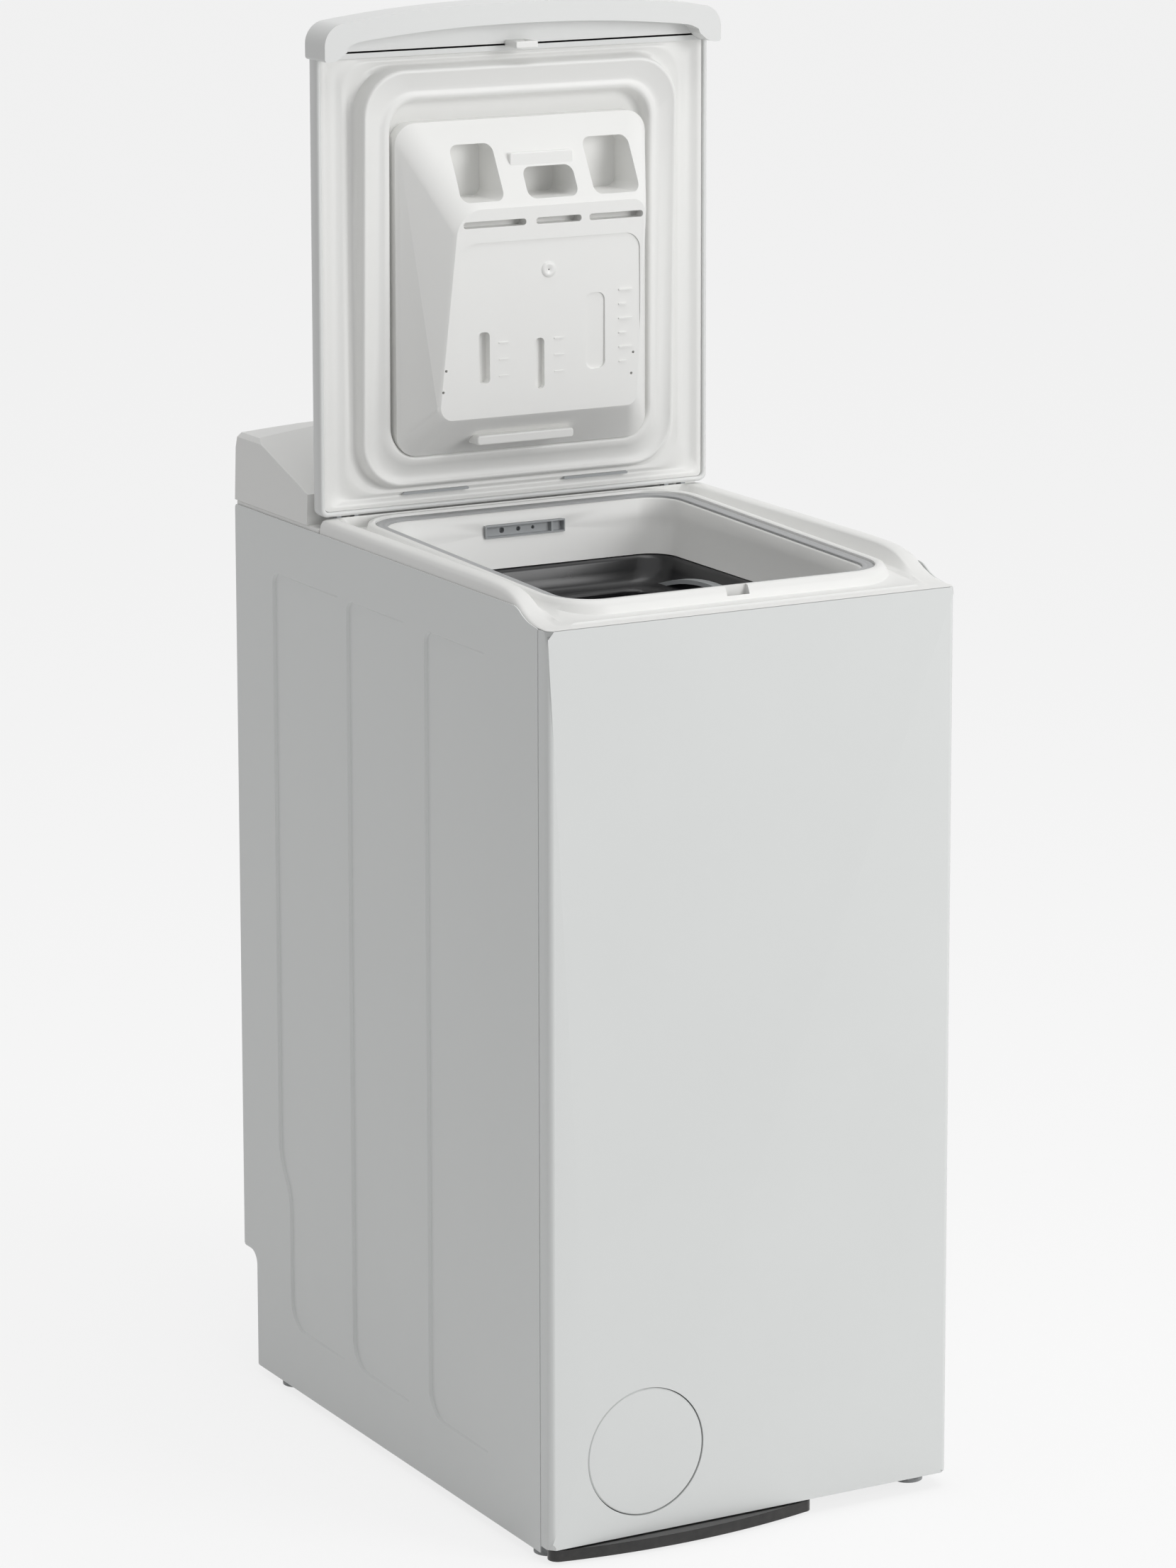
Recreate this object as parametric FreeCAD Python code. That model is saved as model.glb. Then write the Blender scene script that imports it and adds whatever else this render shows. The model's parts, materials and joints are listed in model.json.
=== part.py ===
"""Top load washing machine: a narrow cabinet, 400 mm wide, with a drum that turns about a left-to-right axis.

Row frame: +X to the right, +Y to the back, +Z up, origin on the floor under the middle of the cabinet.
The lid stands open, which is the rest pose. Millimetres throughout. Every function makes one piece.
"""
import FreeCAD
import Part
import math
import os

from FreeCAD import Vector as V

# ---------------------------------------------------------------- driving dimensions
WIDTH = 400.0            # cabinet, side to side
DEPTH = 600.0            # cabinet, front to back
HEIGHT = 900.0           # floor to the crest of the console
SHEET = 1.0              # steel sheet of the cabinet
WALL = 2.5               # moulded plastic wall
GAP = 0.3                # clearance between pieces that must not touch
FIT = 0.05               # radial clearance of a pin in its hole

HALF_W = WIDTH / 2
FRONT_Y = -DEPTH / 2
BACK_Y = DEPTH / 2
PANEL_TOP = HEIGHT - 75.0        # top edge of the side panels
FRONT_TOP = PANEL_TOP - 13.0     # top edge of the front panel
FRONT_BOTTOM = 14.0
FRONT_WRAP = 16.0        # how far the front panel wraps round onto the sides
FRONT_BEND_R = 6.0
SIDE_FRONT_Y = FRONT_Y + FRONT_WRAP + 1.0
SIDE_BOTTOM = 8.0
NOTCH_DEEP = 27.0        # plinth recess at the bottom of the back
NOTCH_TOP = 118.0
NOTCH_R = 13.0
FLANGE = 14.0            # inward folds of the side panels
REAR_OUT = BACK_Y - SHEET - GAP  # outer face of the back sheet, inside the folds
SCREW_R = 2.0

FIELD_DEPTH = 2.6        # pressed fields in the side panels
FIELD_RUN = 112.0        # a field fades out over this run towards the front
FIELD_TOP = PANEL_TOP - 50.0
FIELD_BOTTOM = 67.0
FIELD_PITCH = 150.0
FIELD_STEPS = [BACK_Y - 77.0 - FIELD_PITCH * k for k in range(3)]    # sharp back edge of each field
FIELD_JOG = 22.0         # the rear field steps forward above the plinth recess

CONSOLE_DEEP = 150.0     # console, front to back at its foot
CONSOLE_FRONT = BACK_Y - CONSOLE_DEEP
CONSOLE_LEAN = 1.5       # its front wall leans forward by this much
CONSOLE_FRONT_TOP = HEIGHT - 43.0
CONSOLE_CREST_Y = BACK_Y - 17.0
CONSOLE_BOW = 8.0        # the crest is this much lower at the ends
CONSOLE_EDGE_R = 4.0

DECK_TOP = PANEL_TOP + 4.0       # flat deck under the hinge and the console
BASE_TOP = FRONT_TOP + GAP       # underside of the worktop
RIM_TOP = PANEL_TOP + 12.0       # side rails of the worktop
RAIL_WIDE = 22.0
LID_THICK = 18.0
LID_SKIN_Y = CONSOLE_FRONT - 7.0         # outer skin of the open lid
LID_RIM_Y = LID_SKIN_Y - LID_THICK       # rim of the open lid
LID_FOOT = DECK_TOP + 10.0               # hinge end of the open lid
LID_FOOT_R = 5.5
HINGE_IN = 7.0           # lid hinge axis, behind the outer skin
HINGE_Y = LID_SKIN_Y - HINGE_IN          # lid hinge axis, along X
HINGE_Z = CONSOLE_FRONT_TOP - 7.0
LID_HALF = HALF_W - 2.0
LID_CORNER_Z = HINGE_Z + HINGE_Y - FRONT_Y - 8.0   # height of the open lid at its front corners
LID_BOW = 14.0           # the front edge bows out by this much in the middle
CAP_LOW = LID_CORNER_Z - 31.0            # the thick front cap starts here
CAP_FACE_Y = LID_SKIN_Y - 39.0
CAP_HALF = HALF_W

WELL_HALF = HALF_W - 40.0        # mouth of the well, from the middle
WELL_FRONT = FRONT_Y + 38.0
WELL_BACK = LID_RIM_Y + 1.0
WELL_CORNER = 42.0
WELL_BOTTOM = PANEL_TOP - 45.0
WELL_DRAFT = 7.0
WELL_TOE = 27.0          # the front wall slopes in further by this much
LEDGE = 13.0             # ledge for the grey seal, all round the mouth
LEDGE_DROP = 5.0
SEAL_THICK = 2.5
RING_WIDE = 8.0          # raised ring round the mouth
RING_FRONT_Z = PANEL_TOP + 2.0   # the ring climbs from front to back
RING_BACK_Z = PANEL_TOP + 11.0
WORKTOP_BACK = WELL_BACK + 4.0

TUB_CLEAR = 35.0         # tub barrel to the front and back of the cabinet
SUMP_ROOM = 220.0        # room under the tub for the motor and the pump
TRAVEL = 8.0             # the tub may rise or sink by this much
TUB_TOP = WELL_BOTTOM - TRAVEL - 2.0
TUB_R = min(DEPTH / 2 - TUB_CLEAR, (TUB_TOP - SUMP_ROOM) / 2)       # the tub fills the room that is left
TUB_WALL = 4.0
TUB_HALF = HALF_W - 54.0
TUB_RIB = 6.0
AXIS_Y = 0.0             # drum axis
AXIS_Z = TUB_TOP - TUB_R
DRUM_R = TUB_R - 20.0
DRUM_HALF = TUB_HALF - 18.0
DRUM_SKIN = 1.0
MOUTH_HALF = TUB_HALF - 20.0     # mouth of the tub, from the middle
MOUTH_FRONT = -150.0
MOUTH_BACK = 104.0
DOOR_HALF_X = DRUM_HALF - 20.0   # drum opening, from the middle
DOOR_FRONT_DEG = 34.0    # drum opening, forward of straight up
DOOR_BACK_DEG = 21.0     # and backward
DOOR_OPEN_DEG = 100.0    # the flaps swing in by this much
DOOR_PIN_R = 2.5
DOOR_ROLL_R = 4.2
SHAFT_R = 12.5
BEARING_R = 26.0
BEARING_W = 14.0
PULLEY_R = 140.0
MOTOR_PULLEY_R = 10.0
MOTOR_R = 52.0
MOTOR_Y = 130.0
MOTOR_Z = 130.0
BELT_WIDE = 14.0
BELT_X = (TUB_HALF + 22.0, TUB_HALF + 22.0 + BELT_WIDE)

FILTER_X = -HALF_W + 94.0        # round filter cover in the front panel
FILTER_Z = 87.0
FILTER_R = 56.0
FILTER_GAP = 0.8
HOUSING_R = 34.0
HOUSING_WALL = 5.0
HOUSING_Y = FRONT_Y + 26.0
HOUSING_LONG = 90.0

FOOT_X = HALF_W - 19.0
FOOT_FRONT_Y = FRONT_Y + 36.0
FOOT_R = 15.0
FOOT_HEIGHT = 12.0
FOOT_STEM_R = 4.0
FOOT_BACK_Y = BACK_Y - NOTCH_DEEP - 44.0
BASE_PLATE_Z = 30.0
BASE_PLATE_T = 2.5
BASE_UP = BASE_PLATE_Z + BASE_PLATE_T

LEVER_Z = (3.0, 13.0)
LEVER_PIVOT = (-HALF_W + 13.0, FRONT_Y + 9.5)
LEVER_END_R = 9.0
LEVER_RIGHT = 62.0
LEVER_BOW_Y = FRONT_Y - 12.0
LEVER_PIN_R = 4.0
CASTOR_X = (-HALF_W + 80.0, HALF_W - 80.0)
CASTOR_Y = FRONT_Y + 95.0
CASTOR_R = 10.0
CASTOR_AXLE_R = 2.5
CASTOR_Z = 14.5
GUIDE_X = (-60.0, 60.0)
GUIDE_R = 4.0

KNOB_U, KNOB_R = 0.0, 19.0
SPINDLE_R = 3.0
DISPLAY_U, DISPLAY_W, DISPLAY_V = 62.0, 44.0, 24.0
BUTTON_W, BUTTON_V = 15.0, 8.0
BUTTON_PITCH = 26.0
BUTTON_U = [-HALF_W + 68.0 + BUTTON_PITCH * k for k in range(4)] + [HALF_W - 78.0, HALF_W - 50.0]
BUTTON_TRAVEL = 1.5

INLET_X, CORD_X, DRAIN_X = 120.0, -130.0, -60.0
INLET_R = 13.0           # thread of the water inlet
INLET_LONG = 12.0        # it stands out behind the cabinet by this much
PORT_Z = PANEL_TOP - 55.0
REAR_SCREWS = [(sx, sz) for sx in (-HALF_W + 7.0, HALF_W - 7.0) for sz in (140.0, PORT_Z - 170.0, PORT_Z + 30.0)]

SPRING_X = TUB_HALF + 22.0
SPRING_HIGH_Y = BACK_Y - 55.0
SPRING_LOW_Y = BACK_Y - 85.0
SPRING_TOP = PANEL_TOP - 52.0
EAR_Z = AXIS_Z + 0.4 * TUB_R

HINGE_X = (-HALF_W + 32.0, HALF_W - 32.0)
HINGE_W = 22.0
HINGE_PIN_R = 3.0
KNUCKLE_R = HINGE_IN - WALL - 2 * FIT    # clear of the lid's skin
EAR_R = HINGE_IN - WALL - GAP
NOZZLE_HALF = 41.0
NOZZLE_Z = (PANEL_TOP - 17.0, PANEL_TOP - 5.0)
LATCH_Y = FRONT_Y + 32.0

PARTS = "parts"


# ---------------------------------------------------------------- helpers
def save(name, *solids):
    """Write one node, made of one or more separate solids."""
    flat = []
    for s in solids:
        flat += s.Solids
    shape = flat[0] if len(flat) == 1 else Part.makeCompound(flat)
    shape.exportStep(os.path.join(PARTS, name + ".step"))


def box(x0, x1, y0, y1, z0, z1):
    """Box between two corners."""
    return Part.makeBox(x1 - x0, y1 - y0, z1 - z0, V(x0, y0, z0))


def cyl(radius, start, end):
    """Round bar from one point to another."""
    a, b = V(*start), V(*end)
    return Part.makeCylinder(radius, (b - a).Length, a, b - a)


def tube(outer, inner, start, end):
    """Round tube from one point to another."""
    return cyl(outer, start, end).cut(cyl(inner, start, end))


def polygon(points):
    """Flat face through points."""
    pts = [V(*p) for p in points]
    return Part.Face(Part.makePolygon(pts + pts[:1]))


def prism(points, along):
    """Polygon swept straight along a vector."""
    return polygon(points).extrude(V(*along))


def across(points_yz, x0, x1):
    """Side profile in Y and Z, swept from x0 to x1."""
    return prism([(x0, y, z) for y, z in points_yz], (x1 - x0, 0, 0))


def rounded_outline(x0, x1, y0, y1, r):
    """Closed wire in the XY plane at z 0: a rectangle with round corners."""
    s = math.sqrt(0.5)
    corners = ((x1 - r, y0 + r, 1, -1), (x1 - r, y1 - r, 1, 1), (x0 + r, y1 - r, -1, 1), (x0 + r, y0 + r, -1, -1))
    starts = ((0, -1), (1, 0), (0, 1), (-1, 0))
    ends = ((1, 0), (0, 1), (-1, 0), (0, -1))
    edges = []
    for i, (cx, cy, sx, sy) in enumerate(corners):
        p0 = V(cx + r * starts[i][0], cy + r * starts[i][1], 0)
        pm = V(cx + r * s * sx, cy + r * s * sy, 0)
        p1 = V(cx + r * ends[i][0], cy + r * ends[i][1], 0)
        edges.append(Part.Arc(p0, pm, p1).toShape())
        nx, ny, _, _ = corners[(i + 1) % 4]
        q = V(nx + r * starts[(i + 1) % 4][0], ny + r * starts[(i + 1) % 4][1], 0)
        if (q - p1).Length > 1e-6:
            edges.append(Part.makeLine(p1, q))
    return Part.Wire(edges)


def pad(x0, x1, y0, y1, z0, z1, r):
    """Upright block with round corners in plan."""
    face = Part.Face(rounded_outline(x0, x1, y0, y1, r))
    face.translate(V(0, 0, z0))
    return face.extrude(V(0, 0, z1 - z0))


def plate(x0, x1, z0, z1, y0, y1, r):
    """Standing block with round corners seen from the front, from y0 back to y1."""
    solid = pad(x0, x1, z0, z1, -y1, -y0, r)
    return solid.transformGeometry(FreeCAD.Matrix(1, 0, 0, 0, 0, 0, -1, 0, 0, 1, 0, 0, 0, 0, 0, 1))


def funnel(low, high, z0, z1, r0, r1):
    """Loft between two round-cornered outlines, each given as x0, x1, y0, y1."""
    a = rounded_outline(*low, r0)
    b = rounded_outline(*high, r1)
    a.translate(V(0, 0, z0))
    b.translate(V(0, 0, z1))
    return Part.makeLoft([a, b], True, True)


def grow(outline, d):
    """Outline x0, x1, y0, y1, larger all round by d."""
    x0, x1, y0, y1 = outline
    return x0 - d, x1 + d, y0 - d, y1 + d


def mirrored(shape):
    """The same piece on the other side of the cabinet."""
    return shape.mirror(V(0, 0, 0), V(1, 0, 0))


def soften(shape, radius, chosen):
    """Round the edges that a test picks."""
    edges = [e for e in shape.Edges if chosen(e)]
    return shape.makeFillet(radius, edges) if edges else shape


def drum_point(radius, deg):
    """Point round the drum axis: 0 is straight up, positive towards the back."""
    a = math.radians(deg)
    return AXIS_Y + radius * math.sin(a), AXIS_Z + radius * math.cos(a)


def drum_barrel(radius, half):
    """Solid cylinder on the drum axis."""
    return cyl(radius, (-half, AXIS_Y, AXIS_Z), (half, AXIS_Y, AXIS_Z))


def drum_sector(radius, half, deg0, deg1):
    """Wedge on the drum axis between two angles, wide enough to cut with."""
    middle = (deg0 + deg1) / 2
    reach = radius / math.cos(math.radians((deg1 - deg0) / 2)) + 20
    points = [(AXIS_Y, AXIS_Z)] + [drum_point(reach, d) for d in (deg0, middle, deg1)]
    return across(points, -half, half)


# ---------------------------------------------------------------- cabinet
def field_outline(step, grown):
    """Side view of one pressed field, in Y and Z; the rear one steps forward above the plinth recess."""
    back, front = step + grown, step - FIELD_RUN
    top, low = FIELD_TOP + grown, FIELD_BOTTOM - grown
    r_top, r_low = 9.0, 26.0
    jog = FIELD_JOG if step == max(FIELD_STEPS) else 0.0
    points = [(front, top), (back - r_top, top), (back - 0.3 * r_top, top - 0.3 * r_top), (back, top - r_top)]
    if jog:
        points += [(back, 225), (back - 0.15 * jog, 219), (back - 0.85 * jog, 199), (back - jog, 193)]
    foot = back - jog
    for k in range(5):
        a = math.radians(22.5 * k)
        points.append((foot - r_low + r_low * math.cos(a), low + r_low - r_low * math.sin(a)))
    points.append((front - (jog if jog else 0.0), low))
    return points


def field_wedge(step, skin):
    """Space of one pressed field, deepest at its back edge; skin gives the sheet behind it."""
    back = step + skin
    front = step - FIELD_RUN - (FIELD_JOG if step == max(FIELD_STEPS) else 0.0)
    face = -HALF_W + skin
    wedge = prism([(face, front, 0), (face + FIELD_DEPTH, back, 0), (face - 1.0, back, 0), (face - 1.0, front, 0)],
                  (0, 0, PANEL_TOP))
    shape = across(field_outline(step, skin), -HALF_W - 5, -HALF_W + 20)
    return wedge.common(shape)


def side_panel():
    """Left panel: one steel sheet with three pressed fields and folded edges."""
    notch_y = BACK_Y - NOTCH_DEEP
    outline = [(SIDE_FRONT_Y, SIDE_BOTTOM), (notch_y, SIDE_BOTTOM), (notch_y, NOTCH_TOP - NOTCH_R)]
    for k in range(1, 5):
        a = math.radians(22.5 * k)
        outline.append((notch_y + NOTCH_R * (1 - math.cos(a)), NOTCH_TOP - NOTCH_R * (1 - math.sin(a))))
    cap_back = HINGE_Y + HINGE_Z - CAP_LOW
    outline += [(BACK_Y, NOTCH_TOP), (BACK_Y, PANEL_TOP), (cap_back + 10, PANEL_TOP), (cap_back + 6, PANEL_TOP - 1.5),
                (cap_back + 1, PANEL_TOP - 7.5), (cap_back - 8, PANEL_TOP - 10), (SIDE_FRONT_Y, PANEL_TOP - 13)]
    panel = across(outline, -HALF_W, -HALF_W + SHEET)
    inner = -HALF_W + FLANGE
    folds = [box(-HALF_W, inner, SIDE_FRONT_Y, SIDE_FRONT_Y + SHEET, 40, FRONT_TOP - 30),
             box(-HALF_W, inner, BACK_Y - SHEET, BACK_Y, NOTCH_TOP, PANEL_TOP - 10),
             box(-HALF_W, inner, notch_y - SHEET, notch_y, 34, NOTCH_TOP - NOTCH_R)]
    for fold in folds:
        panel = panel.fuse(fold)
    for step in FIELD_STEPS:
        panel = panel.fuse(field_wedge(step, SHEET))
    for step in FIELD_STEPS:
        panel = panel.cut(field_wedge(step, 0.0))
    for x, z in REAR_SCREWS:
        panel = panel.cut(cyl(SCREW_R + GAP, (x, BACK_Y - 3, z), (x, BACK_Y + 1, z)))
    return panel.removeSplitter()


def front_panel():
    """Front sheet, wrapped round both corners, with the round filter opening."""
    x = HALF_W - 0.5
    back = SIDE_FRONT_Y - GAP
    outer = pad(-x, x, FRONT_Y, back + 40, FRONT_BOTTOM, FRONT_TOP, FRONT_BEND_R)
    inner = pad(-x + SHEET, x - SHEET, FRONT_Y + SHEET, back + 60, FRONT_BOTTOM - 1, FRONT_TOP - SHEET,
                FRONT_BEND_R - SHEET)
    shell = outer.cut(inner).common(box(-x, x, FRONT_Y, back, 0, PANEL_TOP))
    shell = shell.cut(box(-x + 16, x - 16, FRONT_Y + 14, back + 1, FRONT_TOP - 2, FRONT_TOP + 1))
    hole = cyl(FILTER_R + FILTER_GAP, (FILTER_X, FRONT_Y - 5, FILTER_Z), (FILTER_X, FRONT_Y + 10, FILTER_Z))
    collar = tube(FILTER_R + FILTER_GAP + SHEET, FILTER_R + FILTER_GAP, (FILTER_X, FRONT_Y + 0.2, FILTER_Z),
                  (FILTER_X, FRONT_Y + 8, FILTER_Z))
    return shell.cut(hole).fuse(collar).removeSplitter()


def rear_panel():
    """Back sheet inside the folds, stepped in over the plinth recess, with ports for water, drain and power."""
    x = HALF_W - SHEET - GAP
    y = REAR_OUT - SHEET
    notch_y = BACK_Y - NOTCH_DEEP - SHEET
    upper = box(-x, x, y, REAR_OUT, NOTCH_TOP + SHEET, DECK_TOP - 11)
    shelf = box(-x, x, notch_y, REAR_OUT, NOTCH_TOP, NOTCH_TOP + SHEET)
    lower_x = HALF_W - FLANGE - GAP
    lower = box(-lower_x, lower_x, notch_y, notch_y + SHEET, BASE_UP + 6, NOTCH_TOP + SHEET)
    panel = upper.fuse([shelf, lower])
    for hx, r in ((INLET_X, INLET_R + 2.0), (CORD_X, 11.0), (DRAIN_X, 14.0)):
        panel = panel.cut(cyl(r, (hx, y - 5, PORT_Z), (hx, y + 5, PORT_Z)))
    for k in range(3):
        z = AXIS_Z - 200 + 120 * k
        panel = panel.fuse(plate(-120, 120, z, z + 36, y - 3, y, 10))
        panel = panel.cut(plate(-119, 119, z + SHEET, z + 35, y - 3 + SHEET, y + 2, 9))
    for sx, sz in REAR_SCREWS:
        panel = panel.cut(cyl(SCREW_R + GAP, (sx, y - 2, sz), (sx, y + 3, sz)))
    return panel.removeSplitter()


def rear_screws():
    """Pan head screws that hold the back sheet to the folds of the sides."""
    made = []
    for x, z in REAR_SCREWS:
        head = cyl(4.5, (x, BACK_Y, z), (x, BACK_Y + 2.6, z))
        head = head.cut(box(x - 3.2, x + 3.2, BACK_Y + 1.2, BACK_Y + 4, z - 0.6, z + 0.6))
        head = head.cut(box(x - 0.6, x + 0.6, BACK_Y + 1.2, BACK_Y + 4, z - 3.2, z + 3.2))
        made.append(head.fuse(cyl(SCREW_R, (x, BACK_Y - 6.0, z), (x, BACK_Y + 0.1, z))).removeSplitter())
    return made


def base_pan():
    """Base: an upside-down pan that ties the sides together, with a boss for each foot."""
    x = HALF_W - SHEET - GAP
    y0, y1 = SIDE_FRONT_Y + SHEET + GAP, BACK_Y - NOTCH_DEEP - SHEET - GAP
    low = FRONT_BOTTOM
    top = BASE_UP
    outer = box(-x, x, y0, y1, low, top)
    pan = outer.cut(box(-x + WALL, x - WALL, y0 + WALL, y1 - WALL, low - 1, BASE_PLATE_Z))
    for fx in (-FOOT_X, FOOT_X):
        for fy in (FOOT_FRONT_Y, FOOT_BACK_Y):
            boss = cyl(11, (fx, fy, low), (fx, fy, top + 4)).common(box(-x, x, y0, y1, 0, 60))
            pan = pan.fuse(boss).cut(cyl(FOOT_STEM_R + FIT, (fx, fy, 0), (fx, fy, 60)))
    px, py = LEVER_PIVOT
    tongue = box(px - 9, px + 15, py - 8, y0 + 10, top - 8, top)
    pan = pan.fuse(tongue).cut(cyl(LEVER_PIN_R + FIT, (px, py, 0), (px, py, top + 1)))
    for gx in GUIDE_X:
        pan = pan.cut(cyl(GUIDE_R + FIT, (gx, CASTOR_Y + 21, 0), (gx, CASTOR_Y + 21, top + 1)))
    return pan.removeSplitter()


def foot(x, y):
    """Levelling foot: a rubber-shod hexagon pad on a threaded stem."""
    hexagon = [(x + FOOT_R * math.cos(math.radians(60 * k)), y + FOOT_R * math.sin(math.radians(60 * k)), 3)
               for k in range(6)]
    disc = cyl(FOOT_R - 1.5, (x, y, 0), (x, y, 3))
    body = prism(hexagon, (0, 0, FOOT_HEIGHT - 4))
    stem = cyl(FOOT_STEM_R, (x, y, FOOT_HEIGHT - 2), (x, y, BASE_PLATE_Z + 10))
    return disc.fuse([body, stem]).removeSplitter()


# ---------------------------------------------------------------- worktop and well
def ring_z(y):
    """Height of the sloping ring round the well."""
    share = (y - WELL_FRONT) / (WELL_BACK - WELL_FRONT)
    return RING_FRONT_Z + share * (RING_BACK_Z - RING_FRONT_Z)


def well_outlines():
    """Plan outlines of the well as x0, x1, y0, y1: its mouth, its throat inside the ledge, and its bottom."""
    mouth = (-WELL_HALF, WELL_HALF, WELL_FRONT, WELL_BACK)
    throat = grow(mouth, -LEDGE)
    x0, x1, y0, y1 = grow(throat, -WELL_DRAFT)
    return mouth, throat, (x0, x1, y0 + WELL_TOE - WELL_DRAFT, y1)


def above_slope(drop, thick):
    """Slab that follows the sloping ring, lower by drop."""
    y0, y1 = FRONT_Y - 50, BACK_Y + 50
    low, high = ring_z(y0) - drop, ring_z(y1) - drop
    return across([(y0, low), (y1, high), (y1, high + thick), (y0, low + thick)], -HALF_W - 50, HALF_W + 50)


def worktop():
    """White top moulding: rails, a sloping ring and a well that leads down to the drum."""
    x = HALF_W - SHEET - GAP
    rail_in = HALF_W - 1.5 - RAIL_WIDE
    ring_out = WELL_HALF + RING_WIDE
    base, front = BASE_TOP, FRONT_Y + 1.5
    rail = [(front, base), (front, base + 1.0), (front + 23, base + 2.0), (front + 37, base + 4.8),
            (front + 51, base + 11), (front + 75, RIM_TOP - 1), (front + 86, RIM_TOP), (WORKTOP_BACK, RIM_TOP),
            (WORKTOP_BACK, base)]
    body = across(rail, rail_in, x).fuse(across(rail, -x, -rail_in))
    floor = [(front, base), (front, base + 1.0), (front + 23, base + 2.0), (front + 37, base + 4.8),
             (front + 51, base + 7), (WORKTOP_BACK, DECK_TOP - 2), (WORKTOP_BACK, base)]
    body = body.fuse(across(floor, -x, x))
    ring = [(WELL_FRONT - 10, base), (WELL_FRONT - 10, base + 4.5), (WELL_FRONT - 2, ring_z(WELL_FRONT) - 0.5),
            (WELL_FRONT, ring_z(WELL_FRONT)), (WORKTOP_BACK, ring_z(WORKTOP_BACK)), (WORKTOP_BACK, base)]
    body = body.fuse(across(ring, -ring_out, ring_out))
    body = body.fuse(box(-x, x, WORKTOP_BACK - 1, REAR_OUT, DECK_TOP - 10, DECK_TOP))
    mouth, throat, bottom = well_outlines()
    r0, r1 = 26.0, WELL_CORNER - LEDGE
    seat = base + 1.0
    body = body.fuse(funnel(grow(bottom, WALL), grow(throat, WALL), WELL_BOTTOM, seat, r0 + WALL, r1 + WALL))
    body = body.cut(pad(*mouth, seat, RIM_TOP + 20, WELL_CORNER).common(above_slope(LEDGE_DROP, 60)))
    body = body.cut(pad(*throat, seat - 0.1, RIM_TOP + 20, r1))
    body = body.cut(funnel(bottom, throat, WELL_BOTTOM - 0.01, seat, r0, r1))
    wall_y = WELL_BACK - LEDGE
    body = body.cut(box(-NOZZLE_HALF, NOZZLE_HALF, wall_y - 14, wall_y + 9, *NOZZLE_Z))
    body = body.cut(box(-13, 13, LATCH_Y - 5, LATCH_Y + 5, base - 20, base + 20))
    return body.removeSplitter()


def well_seal():
    """Grey rubber strip that lies on the ledge round the mouth of the well."""
    mouth = well_outlines()[0]
    strip = pad(*grow(mouth, -0.5), BASE_TOP, RIM_TOP + 20, WELL_CORNER - 0.5).cut(
        pad(*grow(mouth, -LEDGE + 2), BASE_TOP - 1, RIM_TOP + 21, WELL_CORNER - LEDGE + 2))
    return strip.common(above_slope(LEDGE_DROP, SEAL_THICK))


def nozzle_block():
    """Water jet block behind the slot in the back wall of the well."""
    x0, x1 = -NOZZLE_HALF, NOZZLE_HALF
    z0, z1 = NOZZLE_Z
    wall_y = WELL_BACK - LEDGE
    middle = (z0 + z1) / 2
    block = box(x0 + GAP, x1 - GAP, wall_y - 3.5, wall_y + 8.5, z0 + GAP, z1 - GAP)
    block = block.cut(box(x0 + 1.5, x1 - 1.5, wall_y - 4, wall_y + 1.5, z0 + 1.5, z1 - 1.5))
    for k, hx in enumerate((-22.0, -5.0, 10.0)):
        block = block.cut(cyl(2.6 - 0.5 * k, (hx, wall_y - 2, middle), (hx, wall_y + 6, middle)))
    rib = box(x1 - 14, x1 - 12, wall_y - 2.5, wall_y + 3, z0 + 1.4, z1 - 1.4)
    return block.fuse(rib).removeSplitter()


def door_gasket():
    """Black bellows between the bottom of the well and the tub's mouth."""
    top = well_outlines()[2]
    low = (-MOUTH_HALF - 2, MOUTH_HALF + 2, MOUTH_FRONT - 2, MOUTH_BACK + 2)
    z1, z0 = WELL_BOTTOM - GAP, WELL_BOTTOM - 80
    skin = funnel(grow(low, 3), grow(top, 3), z0, z1, 33, 29)
    skin = skin.cut(funnel(low, top, z0 - 0.01, z1 + 0.01, 30, 26))
    return skin.cut(drum_barrel(TUB_R + GAP, HALF_W)).removeSplitter()


# ---------------------------------------------------------------- console
def console_section(inset):
    """End profile of the console, in Y and Z, smaller by inset."""
    i = inset
    return [(CONSOLE_FRONT + i, DECK_TOP), (CONSOLE_FRONT - CONSOLE_LEAN + i, CONSOLE_FRONT_TOP - i),
            (CONSOLE_CREST_Y - 6, HEIGHT - 0.8 - i), (CONSOLE_CREST_Y, HEIGHT - i),
            (CONSOLE_CREST_Y + 8 - i, HEIGHT - 4 - i), (BACK_Y - 3 - i, HEIGHT - 22), (BACK_Y - i, DECK_TOP)]


def console_envelope(inset):
    """Block that bounds the console in X and Z: straight ends and a gently bowed crest."""
    x, r = HALF_W - inset, CONSOLE_EDGE_R
    z = HEIGHT - CONSOLE_BOW - inset
    low = DECK_TOP - 5
    edges = [Part.makeLine(V(-x, 0, low), V(x, 0, low)), Part.makeLine(V(x, 0, low), V(x, 0, z - r)),
             Part.makeLine(V(x, 0, z - r), V(x - r, 0, z)),
             Part.Arc(V(x - r, 0, z), V(0, 0, HEIGHT - inset), V(r - x, 0, z)).toShape(),
             Part.makeLine(V(r - x, 0, z), V(-x, 0, z - r)), Part.makeLine(V(-x, 0, z - r), V(-x, 0, low))]
    return Part.Face(Part.Wire(edges)).extrude(V(0, BACK_Y + 50, 0))


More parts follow.
